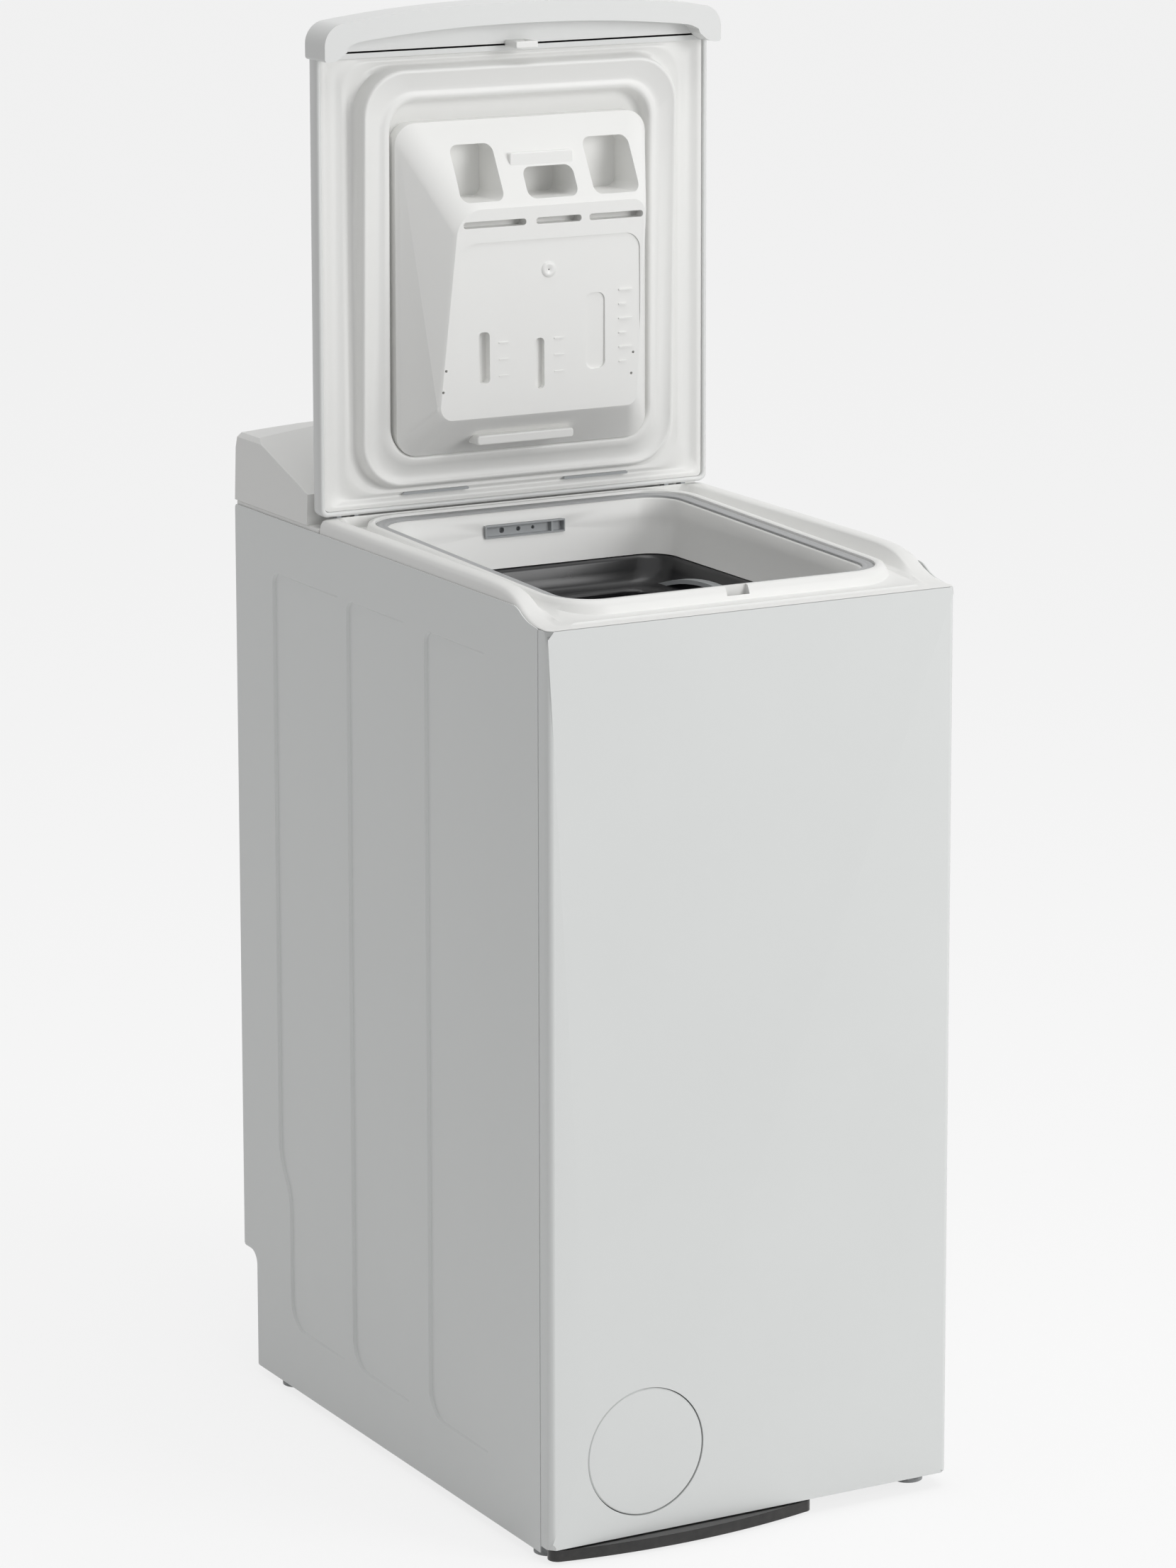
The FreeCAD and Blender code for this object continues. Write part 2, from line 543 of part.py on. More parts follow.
def console_housing():
    """Sloping control console over the back of the cabinet, a thin shell open underneath."""
    outer = across(console_section(0.0), -HALF_W, HALF_W).common(console_envelope(0.0))
    inner = across(console_section(WALL), -HALF_W, HALF_W).common(console_envelope(WALL))
    shell = outer.cut(inner)
    shell = shell.cut(on_slope(cyl(SPINDLE_R + FIT, (KNOB_U, 0, -20), (KNOB_U, 0, 20))))
    shell = shell.cut(on_slope(box(DISPLAY_U - DISPLAY_W / 2, DISPLAY_U + DISPLAY_W / 2, -DISPLAY_V / 2, DISPLAY_V / 2,
                                   -20, 20)))
    for u in BUTTON_U:
        shell = shell.cut(on_slope(pad(u - BUTTON_W / 2 - 0.4, u + BUTTON_W / 2 + 0.4, -BUTTON_V / 2 - 0.4,
                                       BUTTON_V / 2 + 0.4, -20, 20, 2.5)))
    return shell.removeSplitter()


SLOPE_RUN = CONSOLE_CREST_Y - 6 - (CONSOLE_FRONT - CONSOLE_LEAN)
SLOPE_RISE = HEIGHT - 0.8 - CONSOLE_FRONT_TOP
SLOPE_DEG = math.degrees(math.atan2(SLOPE_RISE, SLOPE_RUN))
SLOPE_Y = CONSOLE_FRONT - CONSOLE_LEAN + 0.5 * SLOPE_RUN
SLOPE_Z = CONSOLE_FRONT_TOP + 0.5 * SLOPE_RISE


def on_slope(shape):
    """Move a piece drawn flat at the origin onto the middle of the console's sloping face."""
    placed = shape.copy()
    placed.rotate(V(0, 0, 0), V(1, 0, 0), SLOPE_DEG)
    placed.translate(V(0, SLOPE_Y, SLOPE_Z))
    return placed


def program_knob():
    """Round programme selector with a raised grip bar and its spindle."""
    skirt = cyl(KNOB_R, (KNOB_U, 0, 0.6), (KNOB_U, 0, 5.0))
    skirt = soften(skirt, 1.2, lambda e: abs(e.BoundBox.ZMin - 5.0) < 0.01 and e.BoundBox.ZLength < 0.01)
    crown = cyl(KNOB_R - 3.5, (KNOB_U, 0, 4.5), (KNOB_U, 0, 15.0))
    crown = crown.cut(box(KNOB_U + 4.5, KNOB_U + 30, -30, 30, 7.5, 16)).cut(
        box(KNOB_U - 30, KNOB_U - 4.5, -30, 30, 7.5, 16))
    spindle = cyl(SPINDLE_R, (KNOB_U, 0, -11.0), (KNOB_U, 0, 1.0))
    return on_slope(skirt.fuse([crown, spindle]).removeSplitter())


def button(u):
    """Push button: a rounded cap with a plunger to its switch."""
    cap = pad(u - BUTTON_W / 2, u + BUTTON_W / 2, -BUTTON_V / 2, BUTTON_V / 2, -WALL - 1.0, 2.0, 2.0)
    cap = soften(cap, 0.6, lambda e: abs(e.BoundBox.ZMin - 2.0) < 0.01 and e.BoundBox.ZLength < 0.01)
    plunger = box(u - 2, u + 2, -2, 2, -8.5, -WALL - 0.5)
    return on_slope(cap.fuse(plunger).removeSplitter())


def display_window():
    """Smoked window over the display."""
    w = DISPLAY_W / 2 - 0.1
    v = DISPLAY_V / 2 - 0.1
    return on_slope(box(DISPLAY_U - w, DISPLAY_U + w, -v, v, -WALL, 0.2))


def control_board():
    """Circuit board under the console face, with the switches, the selector and the display module."""
    z0, z1 = -13.5, -12.0
    half = HALF_W - 28
    board = box(-half, half, -20, 20, z0, z1)
    extras = [cyl(8, (KNOB_U, 0, z1), (KNOB_U, 0, z1 + 0.7)),
              box(DISPLAY_U - 20, DISPLAY_U + 20, -10, 10, z1, -WALL - 0.3)]
    for u in BUTTON_U:
        extras.append(box(u - 3, u + 3, -3, 3, z1, z1 + 1.4))
    for u in (-half + 12, 30.0, half - 12):
        extras.append(cyl(2.5, (u, 14, z1), (u, 14, -WALL - 0.3)))
    board = board.fuse(extras)
    for u in (-30.0, 90.0):
        board = board.fuse(box(u - 9, u + 9, -6, 6, z0 - 8, z0))
    return on_slope(board.removeSplitter())


# ---------------------------------------------------------------- lid
def bow_point(x, half, corner_z, bow):
    """Height of the bowed front edge of the open lid at x."""
    return corner_z + bow * (1 - (x / half) ** 2)


def lid_outline(half, foot, corner_z, bow, r):
    """Closed outline of the open lid in X and Z: straight sides, round corners and a bowed top."""
    s = math.sqrt(0.5)
    xi = half - r
    zi = bow_point(xi, half, corner_z, bow)
    a, b = V(-half, 0, foot), V(half, 0, foot)
    c = V(half, 0, zi - r)
    d = V(xi, 0, zi)
    mid = V(half - r + r * s, 0, zi - r + r * s)
    top = V(0, 0, corner_z + bow)
    edges = [Part.makeLine(a, b), Part.makeLine(b, c), Part.Arc(c, mid, d).toShape(),
             Part.Arc(d, top, V(-xi, 0, zi)).toShape(),
             Part.Arc(V(-xi, 0, zi), V(-mid.x, 0, mid.z), V(-half, 0, zi - r)).toShape(),
             Part.makeLine(V(-half, 0, zi - r), a)]
    return Part.Wire(edges)


def lid_slab(half, foot, corner_z, bow, r, y0, y1):
    """Block with the lid's outline, from y0 back to y1."""
    face = Part.Face(lid_outline(half, foot, corner_z, bow, r))
    face.translate(V(0, y0, 0))
    return face.extrude(V(0, y1 - y0, 0))


def lid_outer():
    """Outer shell of the lid: skin and side walls, rounded at the hinge end."""
    block = lid_slab(LID_HALF, LID_FOOT, LID_CORNER_Z - 4, LID_BOW - 2, 12, LID_RIM_Y, LID_SKIN_Y)
    block = soften(block, LID_FOOT_R, lambda e: e.BoundBox.ZMax < LID_FOOT + 0.1 and e.BoundBox.XLength > LID_HALF)
    hollow = lid_slab(LID_HALF - WALL, LID_FOOT + WALL, LID_CORNER_Z, LID_BOW, 10, LID_RIM_Y - 1, LID_SKIN_Y - WALL)
    shell = block.cut(hollow).common(box(-HALF_W, HALF_W, 0, BACK_Y, 0, CAP_LOW + 8))
    for bx in HINGE_X:
        w = HINGE_W / 2 + 1
        shell = shell.cut(box(bx - w, bx + w, LID_RIM_Y - 1, LID_SKIN_Y - WALL, LID_FOOT - 1, LID_FOOT + WALL + 1))
    return shell.removeSplitter()


def lid_cap():
    """Thick front cap and hand grip, bowed like the edge of the cabinet top."""
    block = lid_slab(CAP_HALF, CAP_LOW, LID_CORNER_Z, LID_BOW, 16, CAP_FACE_Y, LID_SKIN_Y + 0.5)
    grip = lid_slab(CAP_HALF - 5, CAP_LOW - 5, LID_CORNER_Z - 19, LID_BOW - 3, 22, CAP_FACE_Y - 1, LID_RIM_Y + 3)
    cap = block.cut(grip)
    x = LID_HALF + GAP
    cap = cap.cut(box(-x, x, LID_RIM_Y - GAP, LID_SKIN_Y + 10, 0, CAP_LOW + 8 + GAP))
    cap = cap.cut(box(-x, x, CAP_FACE_Y - 1, LID_RIM_Y, 0, CAP_LOW + 5))
    hollow = lid_slab(CAP_HALF - 8, CAP_LOW + 12, LID_CORNER_Z - 5, LID_BOW - 2, 12, LID_RIM_Y + 6, LID_SKIN_Y - WALL)
    z_latch = LID_SUM - LATCH_Y
    notch = box(-13, 13, CAP_FACE_Y - 1, LID_SKIN_Y - WALL, z_latch - 10, z_latch + 5)
    return cap.cut(hollow).cut(notch).removeSplitter()


INNER_Y = LID_RIM_Y + 6.0            # back sheet of the inner lid
LID_SUM = HINGE_Y + HINGE_Z          # height on the open lid plus depth when it is closed
BEAD_X = WELL_HALF - 2.0             # the bead lies on the seal when the lid is closed
BEAD_LOW, BEAD_HIGH, BEAD_R = LID_SUM - WELL_BACK + 2.0, LID_SUM - WELL_FRONT - 13.0, 38.0
POCKET_X = WELL_HALF - LEDGE - 16.0
POCKET_LOW, POCKET_HIGH = BEAD_LOW + 24.0, BEAD_HIGH - 31.0


def bead_wedge():
    """Everything behind the sloping crest of the bead, which follows the slope of the ring."""
    drop = HINGE_Z - HINGE_Y

    def crest(z):
        """Depth of the bead's crest at a height on the open lid."""
        return ring_z(LID_SUM - z) - LEDGE_DROP + SEAL_THICK + 0.5 - drop

    z0, z1 = BEAD_LOW - 20, BEAD_HIGH + 20
    return across([(crest(z0), z0), (LID_SKIN_Y, z0), (LID_SKIN_Y, z1), (crest(z1), z1)], -HALF_W, HALF_W)


def lid_inner():
    """White inner moulding: a stepped pan with a raised bead and the recess that holds the dispenser."""
    half = LID_HALF - WALL - GAP
    z0, z1 = LID_FOOT + WALL + GAP, CAP_LOW + 5
    pan = plate(-half, half, z0, z1, INNER_Y, INNER_Y + WALL, 4)
    lip = plate(-half, half, z0 + 14, z1, LID_RIM_Y + 1, INNER_Y + WALL, 14).cut(
        plate(-half + 9, half - 9, z0 + 8, z1 - 9, LID_RIM_Y, INNER_Y, 22))
    step = plate(-BEAD_X, BEAD_X, BEAD_LOW, BEAD_HIGH, INNER_Y - 6, INNER_Y + WALL, BEAD_R)
    bead = plate(-BEAD_X, BEAD_X, BEAD_LOW, BEAD_HIGH, INNER_Y - 30, INNER_Y, BEAD_R).cut(
        plate(-BEAD_X + 6, BEAD_X - 6, BEAD_LOW + 6, BEAD_HIGH - 6, INNER_Y - 31, INNER_Y + 1, BEAD_R - 6))
    terrace = plate(-POCKET_X - 8, POCKET_X + 8, POCKET_LOW - 8, POCKET_HIGH + 8, INNER_Y - 17, INNER_Y, 24)
    body = pan.fuse([lip, step, bead.common(bead_wedge()), terrace])
    body = body.cut(plate(-POCKET_X, POCKET_X, POCKET_LOW, POCKET_HIGH, INNER_Y - 30, INNER_Y, 16))
    z_latch = LID_SUM - LATCH_Y
    body = body.cut(box(-12, 12, INNER_Y - 20, INNER_Y + 10, z_latch - 8, z_latch - 3.5))
    striker = box(-8, 8, INNER_Y - 33, INNER_Y + 1, z_latch - 2.5, z_latch + 2.5).cut(
        box(-5, 5, INNER_Y - 30, INNER_Y - 22, z_latch - 4, z_latch + 4))
    body = body.fuse(striker)
    for x in (-114.0, 50.0):
        body = body.cut(box(x, x + 64, INNER_Y - 2, INNER_Y + 10, z0 + 11, z0 + 13))
    for bx in HINGE_X:
        w = HINGE_W / 2 + 1
        body = body.cut(box(bx - w, bx + w, LID_RIM_Y - 5, LID_SKIN_Y, z0 - 1, z0 + 24))
    return body.removeSplitter()


DISP_Y = INNER_Y - 59.0  # front face of the dispenser
DISP_BACK = INNER_Y - GAP
DISP_X = POCKET_X - 1.0
DISP_LOW = POCKET_LOW + 1.0
DISP_HIGH = POCKET_HIGH - 1.0


def standing(outline, y):
    """Stand a flat outline up at depth y."""
    outline.rotate(V(0, 0, 0), V(1, 0, 0), 90)
    outline.translate(V(0, y, 0))
    return outline


def dispenser():
    """Detergent box in the lid: three pockets open at the top, a slotted front and a pull tab."""
    low, high = DISP_LOW, DISP_HIGH
    fx = DISP_X - 27
    back = standing(rounded_outline(-DISP_X, DISP_X, low, high, 15), INNER_Y - 18)
    front = standing(rounded_outline(-fx, fx, low + 35, high - 35, 18), DISP_Y)
    body = Part.makeLoft([back, front], True, True)
    body = body.fuse(plate(-DISP_X, DISP_X, low, high, INNER_Y - 18.1, DISP_BACK, 15))
    slope = across([(DISP_Y - 32, high - 23), (DISP_Y - 1, high - 81), (DISP_Y + 6, high - 81), (DISP_Y + 32, high - 17),
                    (DISP_Y + 32, high + 57), (DISP_Y - 32, high + 57)], -DISP_X + 12, DISP_X - 12)
    body = body.cut(slope)
    for x0, x1 in DISPENSER_POCKETS:
        body = body.cut(pad(x0, x1, DISP_Y + 7, DISP_BACK - 5, low + 50, high - 21, 5))
    for x0, x1 in ((-96.0, -36.0), (-28.0, 22.0), (31.0, 92.0)):
        body = body.cut(plate(x0, x1, high - 107, high - 99, DISP_Y - 5, DISP_Y + 6, 3.5))
    body = body.cut(plate(-95, 97, low + 43, high - 119, DISP_Y - 5, DISP_Y + 2.0, 14))
    for x, z0, z1, w in ((-66.0, 68.0, 110.0, 7.0), (-10.0, 56.0, 101.0, 7.0), (50.0, 77.0, 137.0, 12.0)):
        body = body.cut(plate(x - w / 2, x + w / 2, low + z0, low + z1, DISP_Y - 5, DISP_Y + 5, w / 2 - 0.1))
    boss_z = low + 166
    body = body.fuse(cyl(9, (0, DISP_Y + 0.8, boss_z), (0, DISP_Y + 3.5, boss_z)))
    body = body.cut(cyl(2.2, (0, DISP_Y - 1, boss_z), (0, DISP_Y + 3.4, boss_z)))
    for x, z in ((-99.0, low + 81), (-99.0, low + 61), (99.0, low + 81), (99.0, low + 61)):
        body = body.cut(cyl(1.2, (x, DISP_Y - 1, z), (x, DISP_Y + 6, z)))
    tab = across([(DISP_Y + 4, low + 27), (DISP_Y + 20, low + 5), (DISP_Y + 20, low + 17), (DISP_Y + 4, low + 37)],
                 -48, 50)
    bar = across([(DISP_Y + 34, high - 39), (DISP_Y + 16, high - 37), (DISP_Y + 13, high - 31),
                  (DISP_Y + 13, high - 23), (DISP_Y + 16, high - 20), (DISP_Y + 34, high - 18)], -33, 31)
    return body.fuse([tab, bar]).removeSplitter()


DISPENSER_POCKETS = ((-112.0, -37.0), (-30.0, 28.0), (35.0, 110.0))


def lid_hinge_leaf(x):
    """Hinge leaf on the lid: a knuckle round the pin and a tongue fixed between the two skins."""
    w = HINGE_W / 2 - 5
    knuckle = cyl(KNUCKLE_R, (x - w, HINGE_Y, HINGE_Z), (x + w, HINGE_Y, HINGE_Z))
    tongue = box(x - w, x + w, INNER_Y + WALL + 0.2, LID_SKIN_Y - WALL - 0.2, HINGE_Z + 3.2, HINGE_Z + 60)
    bore = cyl(HINGE_PIN_R + FIT, (x - w - 1, HINGE_Y, HINGE_Z), (x + w + 1, HINGE_Y, HINGE_Z))
    return knuckle.fuse(tongue).cut(bore).removeSplitter()


def hinge_bracket(x):
    """Fixed hinge bracket: two ears on a foot plate that stands on the deck, with the pin through them."""
    w = HINGE_W / 2
    made = box(x - w, x + w, HINGE_Y - 5, HINGE_Y + 10, DECK_TOP, DECK_TOP + 3)
    for e0 in (x - w, x + w - 4.5):
        ear = box(e0, e0 + 4.5, HINGE_Y - EAR_R, HINGE_Y + EAR_R, DECK_TOP, HINGE_Z)
        made = made.fuse([ear, cyl(EAR_R, (e0, HINGE_Y, HINGE_Z), (e0 + 4.5, HINGE_Y, HINGE_Z))])
    return made.fuse(cyl(HINGE_PIN_R, (x - w, HINGE_Y, HINGE_Z), (x + w, HINGE_Y, HINGE_Z))).removeSplitter()


def lid_lock():
    """Lock under the front rim of the worktop, with a slot for the striker."""
    body = box(-26, 26, LATCH_Y - 13, LATCH_Y + 8, BASE_TOP - 28, BASE_TOP)
    return body.cut(box(-11, 11, LATCH_Y - 4, LATCH_Y + 4, BASE_TOP - 18, BASE_TOP + 1))


# ---------------------------------------------------------------- tub
def mouth_cut(extra):
    """Space of the tub's mouth."""
    return pad(-MOUTH_HALF - extra, MOUTH_HALF + extra, MOUTH_FRONT - extra, MOUTH_BACK + extra,
               AXIS_Z + 60, AXIS_Z + TUB_R + 60, 30)


def sump_line(share):
    """Point on the straight line from the middle of the pump housing (0) to the sump (1)."""
    a = (FILTER_X, HOUSING_Y + 55, FILTER_Z)
    b = (-20.0, -70.0, AXIS_Z - TUB_R - 10)
    return tuple(p + share * (q - p) for p, q in zip(a, b))


def tub():
    """Whole tub: a barrel with thick ends, a mouth on top and a sump at the bottom."""
    barrel = drum_barrel(TUB_R, TUB_HALF).cut(drum_barrel(TUB_R - TUB_WALL, TUB_HALF - TUB_WALL))
    barrel = barrel.cut(mouth_cut(0))
    flange = drum_barrel(TUB_R + TUB_RIB, 8).cut(drum_barrel(TUB_R - 0.5, 9)).cut(mouth_cut(20))
    floor = AXIS_Z - TUB_R
    sump = pad(-40, 40, -100, 20, floor - 24, floor + 30, 14)
    sump = sump.fuse(cyl(STUB_R, sump_line(0.78), sump_line(1.0)))
    well = pad(-36, 36, -96, 16, floor - 20, AXIS_Z - 200, 10)
    sump = sump.cut(cyl(STUB_R - 2.5, sump_line(0.7), sump_line(1.05)))
    sump = sump.cut(drum_barrel(TUB_R - 1, HALF_W))
    pieces = [flange, sump]
    for s in (-1, 1):
        pieces.append(cyl(52, (s * TUB_HALF, AXIS_Y, AXIS_Z), (s * (TUB_HALF + 10), AXIS_Y, AXIS_Z)))
        for y in (-SPRING_LOW_Y, SPRING_LOW_Y):
            a, b = sorted((s * (TUB_HALF - 1), s * (SPRING_X + 8)))
            pieces.append(box(a, b, y - 10, y + 10, EAR_Z - 8, EAR_Z))
            a, b = sorted((s * (TUB_HALF - 1), s * (TUB_HALF + 5)))
            pieces.append(box(a, b, y - 10, y + 10, EAR_Z - 40, EAR_Z))
    whole = barrel.fuse(pieces).cut(well)
    return whole.cut(cyl(BEARING_R, (-HALF_W, AXIS_Y, AXIS_Z), (HALF_W, AXIS_Y, AXIS_Z))).removeSplitter()


STUB_R = 14.0


def tub_half(side):
    """Half of the tub, split down the middle."""
    a, b = sorted((side * FIT, side * HALF_W))
    keep = box(a, b, -DEPTH, DEPTH, 0, HEIGHT)
    return tub().common(keep).removeSplitter()


def bearing(side):
    """Deep groove bearing, races and seal as one ring, seated in the tub's hub."""
    x0 = side * (TUB_HALF - TUB_WALL)
    x1 = side * (TUB_HALF - TUB_WALL + BEARING_W)
    ring = tube(BEARING_R - 0.02, SHAFT_R + FIT, (x0, AXIS_Y, AXIS_Z), (x1, AXIS_Y, AXIS_Z))
    groove = tube(BEARING_R - 5, SHAFT_R + 4, (x1 - side * 1.0, AXIS_Y, AXIS_Z), (x1 + side, AXIS_Y, AXIS_Z))
    return ring.cut(groove)


def counterweight(front):
    """Cast ballast block that follows the barrel of the tub, on two studs."""
    sign = -1 if front else 1
    y_in, y_out = sorted((sign * TUB_R * 0.64, sign * (BACK_Y - 19.0)))
    z0, z1 = (AXIS_Z - 60, AXIS_Z + 115) if front else (AXIS_Z - 110, AXIS_Z + 80)
    x = TUB_HALF - 28
    block = box(-x, x, y_in, y_out, z0, z1).cut(drum_barrel(TUB_R + TUB_RIB + GAP, HALF_W))
    studs = []
    for sx in (-x + 28, x - 28):
        stud = cyl(7, (sx, sign * 100, AXIS_Z), (sx, sign * (TUB_R + 9), AXIS_Z))
        studs.append(stud.cut(drum_barrel(TUB_R + 0.02, HALF_W)))
    return block.fuse(studs).removeSplitter()


def heater():
    """Tubular heating element lying in the sump under the drum."""
    z = AXIS_Z - TUB_R - 4
    r = 4.0
    a = cyl(r, (-26, -90, z), (-26, 6, z))
    b = cyl(r, (26, -90, z), (26, 6, z))
    c = cyl(r, (-30, 2, z), (30, 2, z))
    flange_piece = box(-26, 26, -95.9, -88, z - 8, z + 8)
    return a.fuse([b, c, flange_piece]).removeSplitter()


def motor():
    """Drive motor hung under the tub: a can between two end shields, on two lugs."""
    y, z = MOTOR_Y, MOTOR_Z
    can = cyl(MOTOR_R, (-40, y, z), (70, y, z))
    body = can.fuse([tube(MOTOR_R + 6, 20, (s, y, z), (s + 12, y, z)) for s in (-40, 58)])
    body = body.cut(cyl(9 + FIT, (40, y, z), (90, y, z)))
    top = AXIS_Z - TUB_R + 24
    lugs = [prism([(x, y - 30, z + 40), (x, y + 30, z + 40), (x, y + 20, top), (x, y - 60, top)], (12, 0, 0))
            for x in (-40.0, 58.0)]
    body = body.fuse(lugs).cut(drum_barrel(TUB_R + 0.1, HALF_W))
    return max(body.Solids, key=lambda s: s.Volume).removeSplitter()


def motor_rotor():
    """Motor shaft and its small belt pulley."""
    y, z = MOTOR_Y, MOTOR_Z
    shaft = cyl(9.0, (42, y, z), (BELT_X[0] - 2, y, z))
    pulley = cyl(MOTOR_PULLEY_R, (BELT_X[0] - 2, y, z), (BELT_X[1] + 2, y, z))
    rims = [cyl(MOTOR_PULLEY_R + 3, (BELT_X[0] - 4, y, z), (BELT_X[0] - 2, y, z)),
            cyl(MOTOR_PULLEY_R + 3, (BELT_X[1] + 2, y, z), (BELT_X[1] + 4, y, z))]
    return shaft.fuse([pulley] + rims).removeSplitter()


def drive_belt():
    """Flat ribbed belt round the two pulleys, straight between them."""
    y0, z0, r0 = AXIS_Y, AXIS_Z, PULLEY_R + GAP
    y1, z1, r1 = MOTOR_Y, MOTOR_Z, MOTOR_PULLEY_R + GAP
    t = 3.0

    def loop(extra):
        """Region inside the belt line, thicker by extra."""
        big = cyl(r0 + extra, (BELT_X[0], y0, z0), (BELT_X[1], y0, z0))
        small = cyl(r1 + extra, (BELT_X[0], y1, z1), (BELT_X[1], y1, z1))
        d = math.hypot(y1 - y0, z1 - z0)
        base = math.atan2(z1 - z0, y1 - y0)
        off = math.acos((r0 - r1) / d)
        points = []
        for sign in (1, -1):
            a = base + sign * off
            ends = [(y0 + (r0 + extra) * math.cos(a), z0 + (r0 + extra) * math.sin(a)),
                    (y1 + (r1 + extra) * math.cos(a), z1 + (r1 + extra) * math.sin(a))]
            points += ends if sign > 0 else ends[::-1]
        return big.fuse([small, across(points, *BELT_X)]).removeSplitter()

    return loop(t).cut(loop(0.0)).removeSplitter()


# ---------------------------------------------------------------- drum
def drum_shell():
    """Stainless barrel and pressed ends, a reinforced opening and the hinge rods of its two flaps."""
    shell = drum_barrel(DRUM_R, DRUM_HALF).cut(drum_barrel(DRUM_R - DRUM_SKIN, DRUM_HALF - DRUM_SKIN))
    door = drum_sector(DRUM_R, DOOR_HALF_X, -DOOR_FRONT_DEG, DOOR_BACK_DEG).cut(drum_barrel(DRUM_R - 60, HALF_W))
    shell = shell.cut(door)
    frame = drum_barrel(DRUM_R - DRUM_SKIN + 0.01, DOOR_HALF_X + 8).cut(drum_barrel(DRUM_R - 9, HALF_W))
    frame = frame.common(drum_sector(DRUM_R, HALF_W, -DOOR_FRONT_DEG - 2, DOOR_BACK_DEG + 2)).cut(door)
    pieces = [frame]
    for s in (-1, 1):
        pieces.append(cyl(60, (s * DRUM_HALF, AXIS_Y, AXIS_Z), (s * (DRUM_HALF + 6), AXIS_Y, AXIS_Z)))
    for front in (True, False):
        y, z = door_pin(front)
        pieces.append(cyl(DOOR_PIN_R, (-DOOR_HALF_X - 3, y, z), (DOOR_HALF_X + 3, y, z)))
    shell = shell.fuse(pieces)
    return shell.cut(cyl(SHAFT_R - 0.01, (-HALF_W, AXIS_Y, AXIS_Z), (HALF_W, AXIS_Y, AXIS_Z))).removeSplitter()


def drum_shaft(side):
    """Stub shaft pressed into a drum hub; the right one also carries the pulley."""
    inner = side * (DRUM_HALF - 1)
    outer = side * (TUB_HALF + 12) if side < 0 else BELT_X[1] + 6
    return cyl(SHAFT_R - 0.02, (inner, AXIS_Y, AXIS_Z), (outer, AXIS_Y, AXIS_Z))


def drum_pulley():
    """Large spoked belt pulley on the right shaft."""
    x0, x1 = BELT_X
    rim = tube(PULLEY_R, PULLEY_R - 8, (x0 - 1, AXIS_Y, AXIS_Z), (x1 + 1, AXIS_Y, AXIS_Z))
    hub = tube(30, SHAFT_R, (x0 - 1, AXIS_Y, AXIS_Z), (x1 + 3, AXIS_Y, AXIS_Z))
    web = tube(PULLEY_R - 7, 29, (x0 + 5, AXIS_Y, AXIS_Z), (x0 + 9, AXIS_Y, AXIS_Z))
    for k in range(6):
        y, z = drum_point(82, 60 * k)
        web = web.cut(cyl(26, (x0, y, z), (x1, y, z)))
    return rim.fuse([hub, web]).removeSplitter()


def lifters():
    """Three lifters that stand in from the barrel and tumble the laundry."""
    made = []
    foot = AXIS_Z + DRUM_R
    half = DRUM_HALF - 16
    for deg in (90.0, 180.0, 270.0):
        fin = across([(AXIS_Y - 26, foot - 22), (AXIS_Y + 26, foot - 22), (AXIS_Y + 12, foot - 62),
                      (AXIS_Y - 12, foot - 62)], -half, half)
        base = across([(AXIS_Y - 30, foot - 22), (AXIS_Y + 30, foot - 22), (AXIS_Y + 30, foot), (AXIS_Y - 30, foot)],
                      -half, half).common(drum_barrel(DRUM_R - DRUM_SKIN - FIT, HALF_W))
        core = across([(AXIS_Y - 22, foot), (AXIS_Y + 22, foot), (AXIS_Y + 9, foot - 58), (AXIS_Y - 9, foot - 58)],
                      -half + 4, half - 4)
        fin = fin.fuse(base).cut(core)
        fin.rotate(V(0, AXIS_Y, AXIS_Z), V(1, 0, 0), -deg)
        made.append(fin.removeSplitter())
    return made


DOOR_SPLIT_DEG = (DOOR_BACK_DEG - DOOR_FRONT_DEG) / 2
DOOR_EDGE_DEG = 1.6      # a flap stops this far short of the edge of the opening


def door_pin(front):
    """Hinge line of a drum flap, as a point in Y and Z."""
    deg = -DOOR_FRONT_DEG + DOOR_EDGE_DEG if front else DOOR_BACK_DEG - DOOR_EDGE_DEG
    return drum_point(DRUM_R - 4.5, deg)


def drum_flap(front):
    """Curved steel flap of the drum opening, shown swung in on its hinge roll."""
    if front:
        deg0, deg1 = -DOOR_FRONT_DEG + DOOR_EDGE_DEG, DOOR_SPLIT_DEG - 0.3
    else:
        deg0, deg1 = DOOR_SPLIT_DEG + 0.3, DOOR_BACK_DEG - DOOR_EDGE_DEG
    skin = drum_barrel(DRUM_R, DOOR_HALF_X - 2).cut(drum_barrel(DRUM_R - 1.2, 300))
    skin = skin.common(drum_sector(DRUM_R, 300, deg0, deg1))
    y, z = door_pin(front)
    roll = cyl(DOOR_ROLL_R, (-DOOR_HALF_X + 2, y, z), (DOOR_HALF_X - 2, y, z))
    flap = skin.fuse(roll)
    flap = flap.cut(cyl(DOOR_PIN_R + FIT, (-200, y, z), (200, y, z)))
    flap.rotate(V(0, y, z), V(1, 0, 0), -DOOR_OPEN_DEG if front else DOOR_OPEN_DEG)
    return flap.removeSplitter()


# ---------------------------------------------------------------- suspension
def hangers():
    """Four suspension springs from the cabinet corners to the tub, each a closed sleeve between two hooks."""
    made = []
    for sx in (-1, 1):
        for sy in (-1, 1):
            x = sx * SPRING_X
            high = V(x, sy * SPRING_HIGH_Y, SPRING_TOP - GAP)
            low = V(x, sy * SPRING_LOW_Y, EAR_Z + GAP)
            a, b = low + (high - low) * 0.12, low + (high - low) * 0.88
            made.append(cyl(7, a, b).fuse(cyl(1.5, low, high)).removeSplitter())
    return made


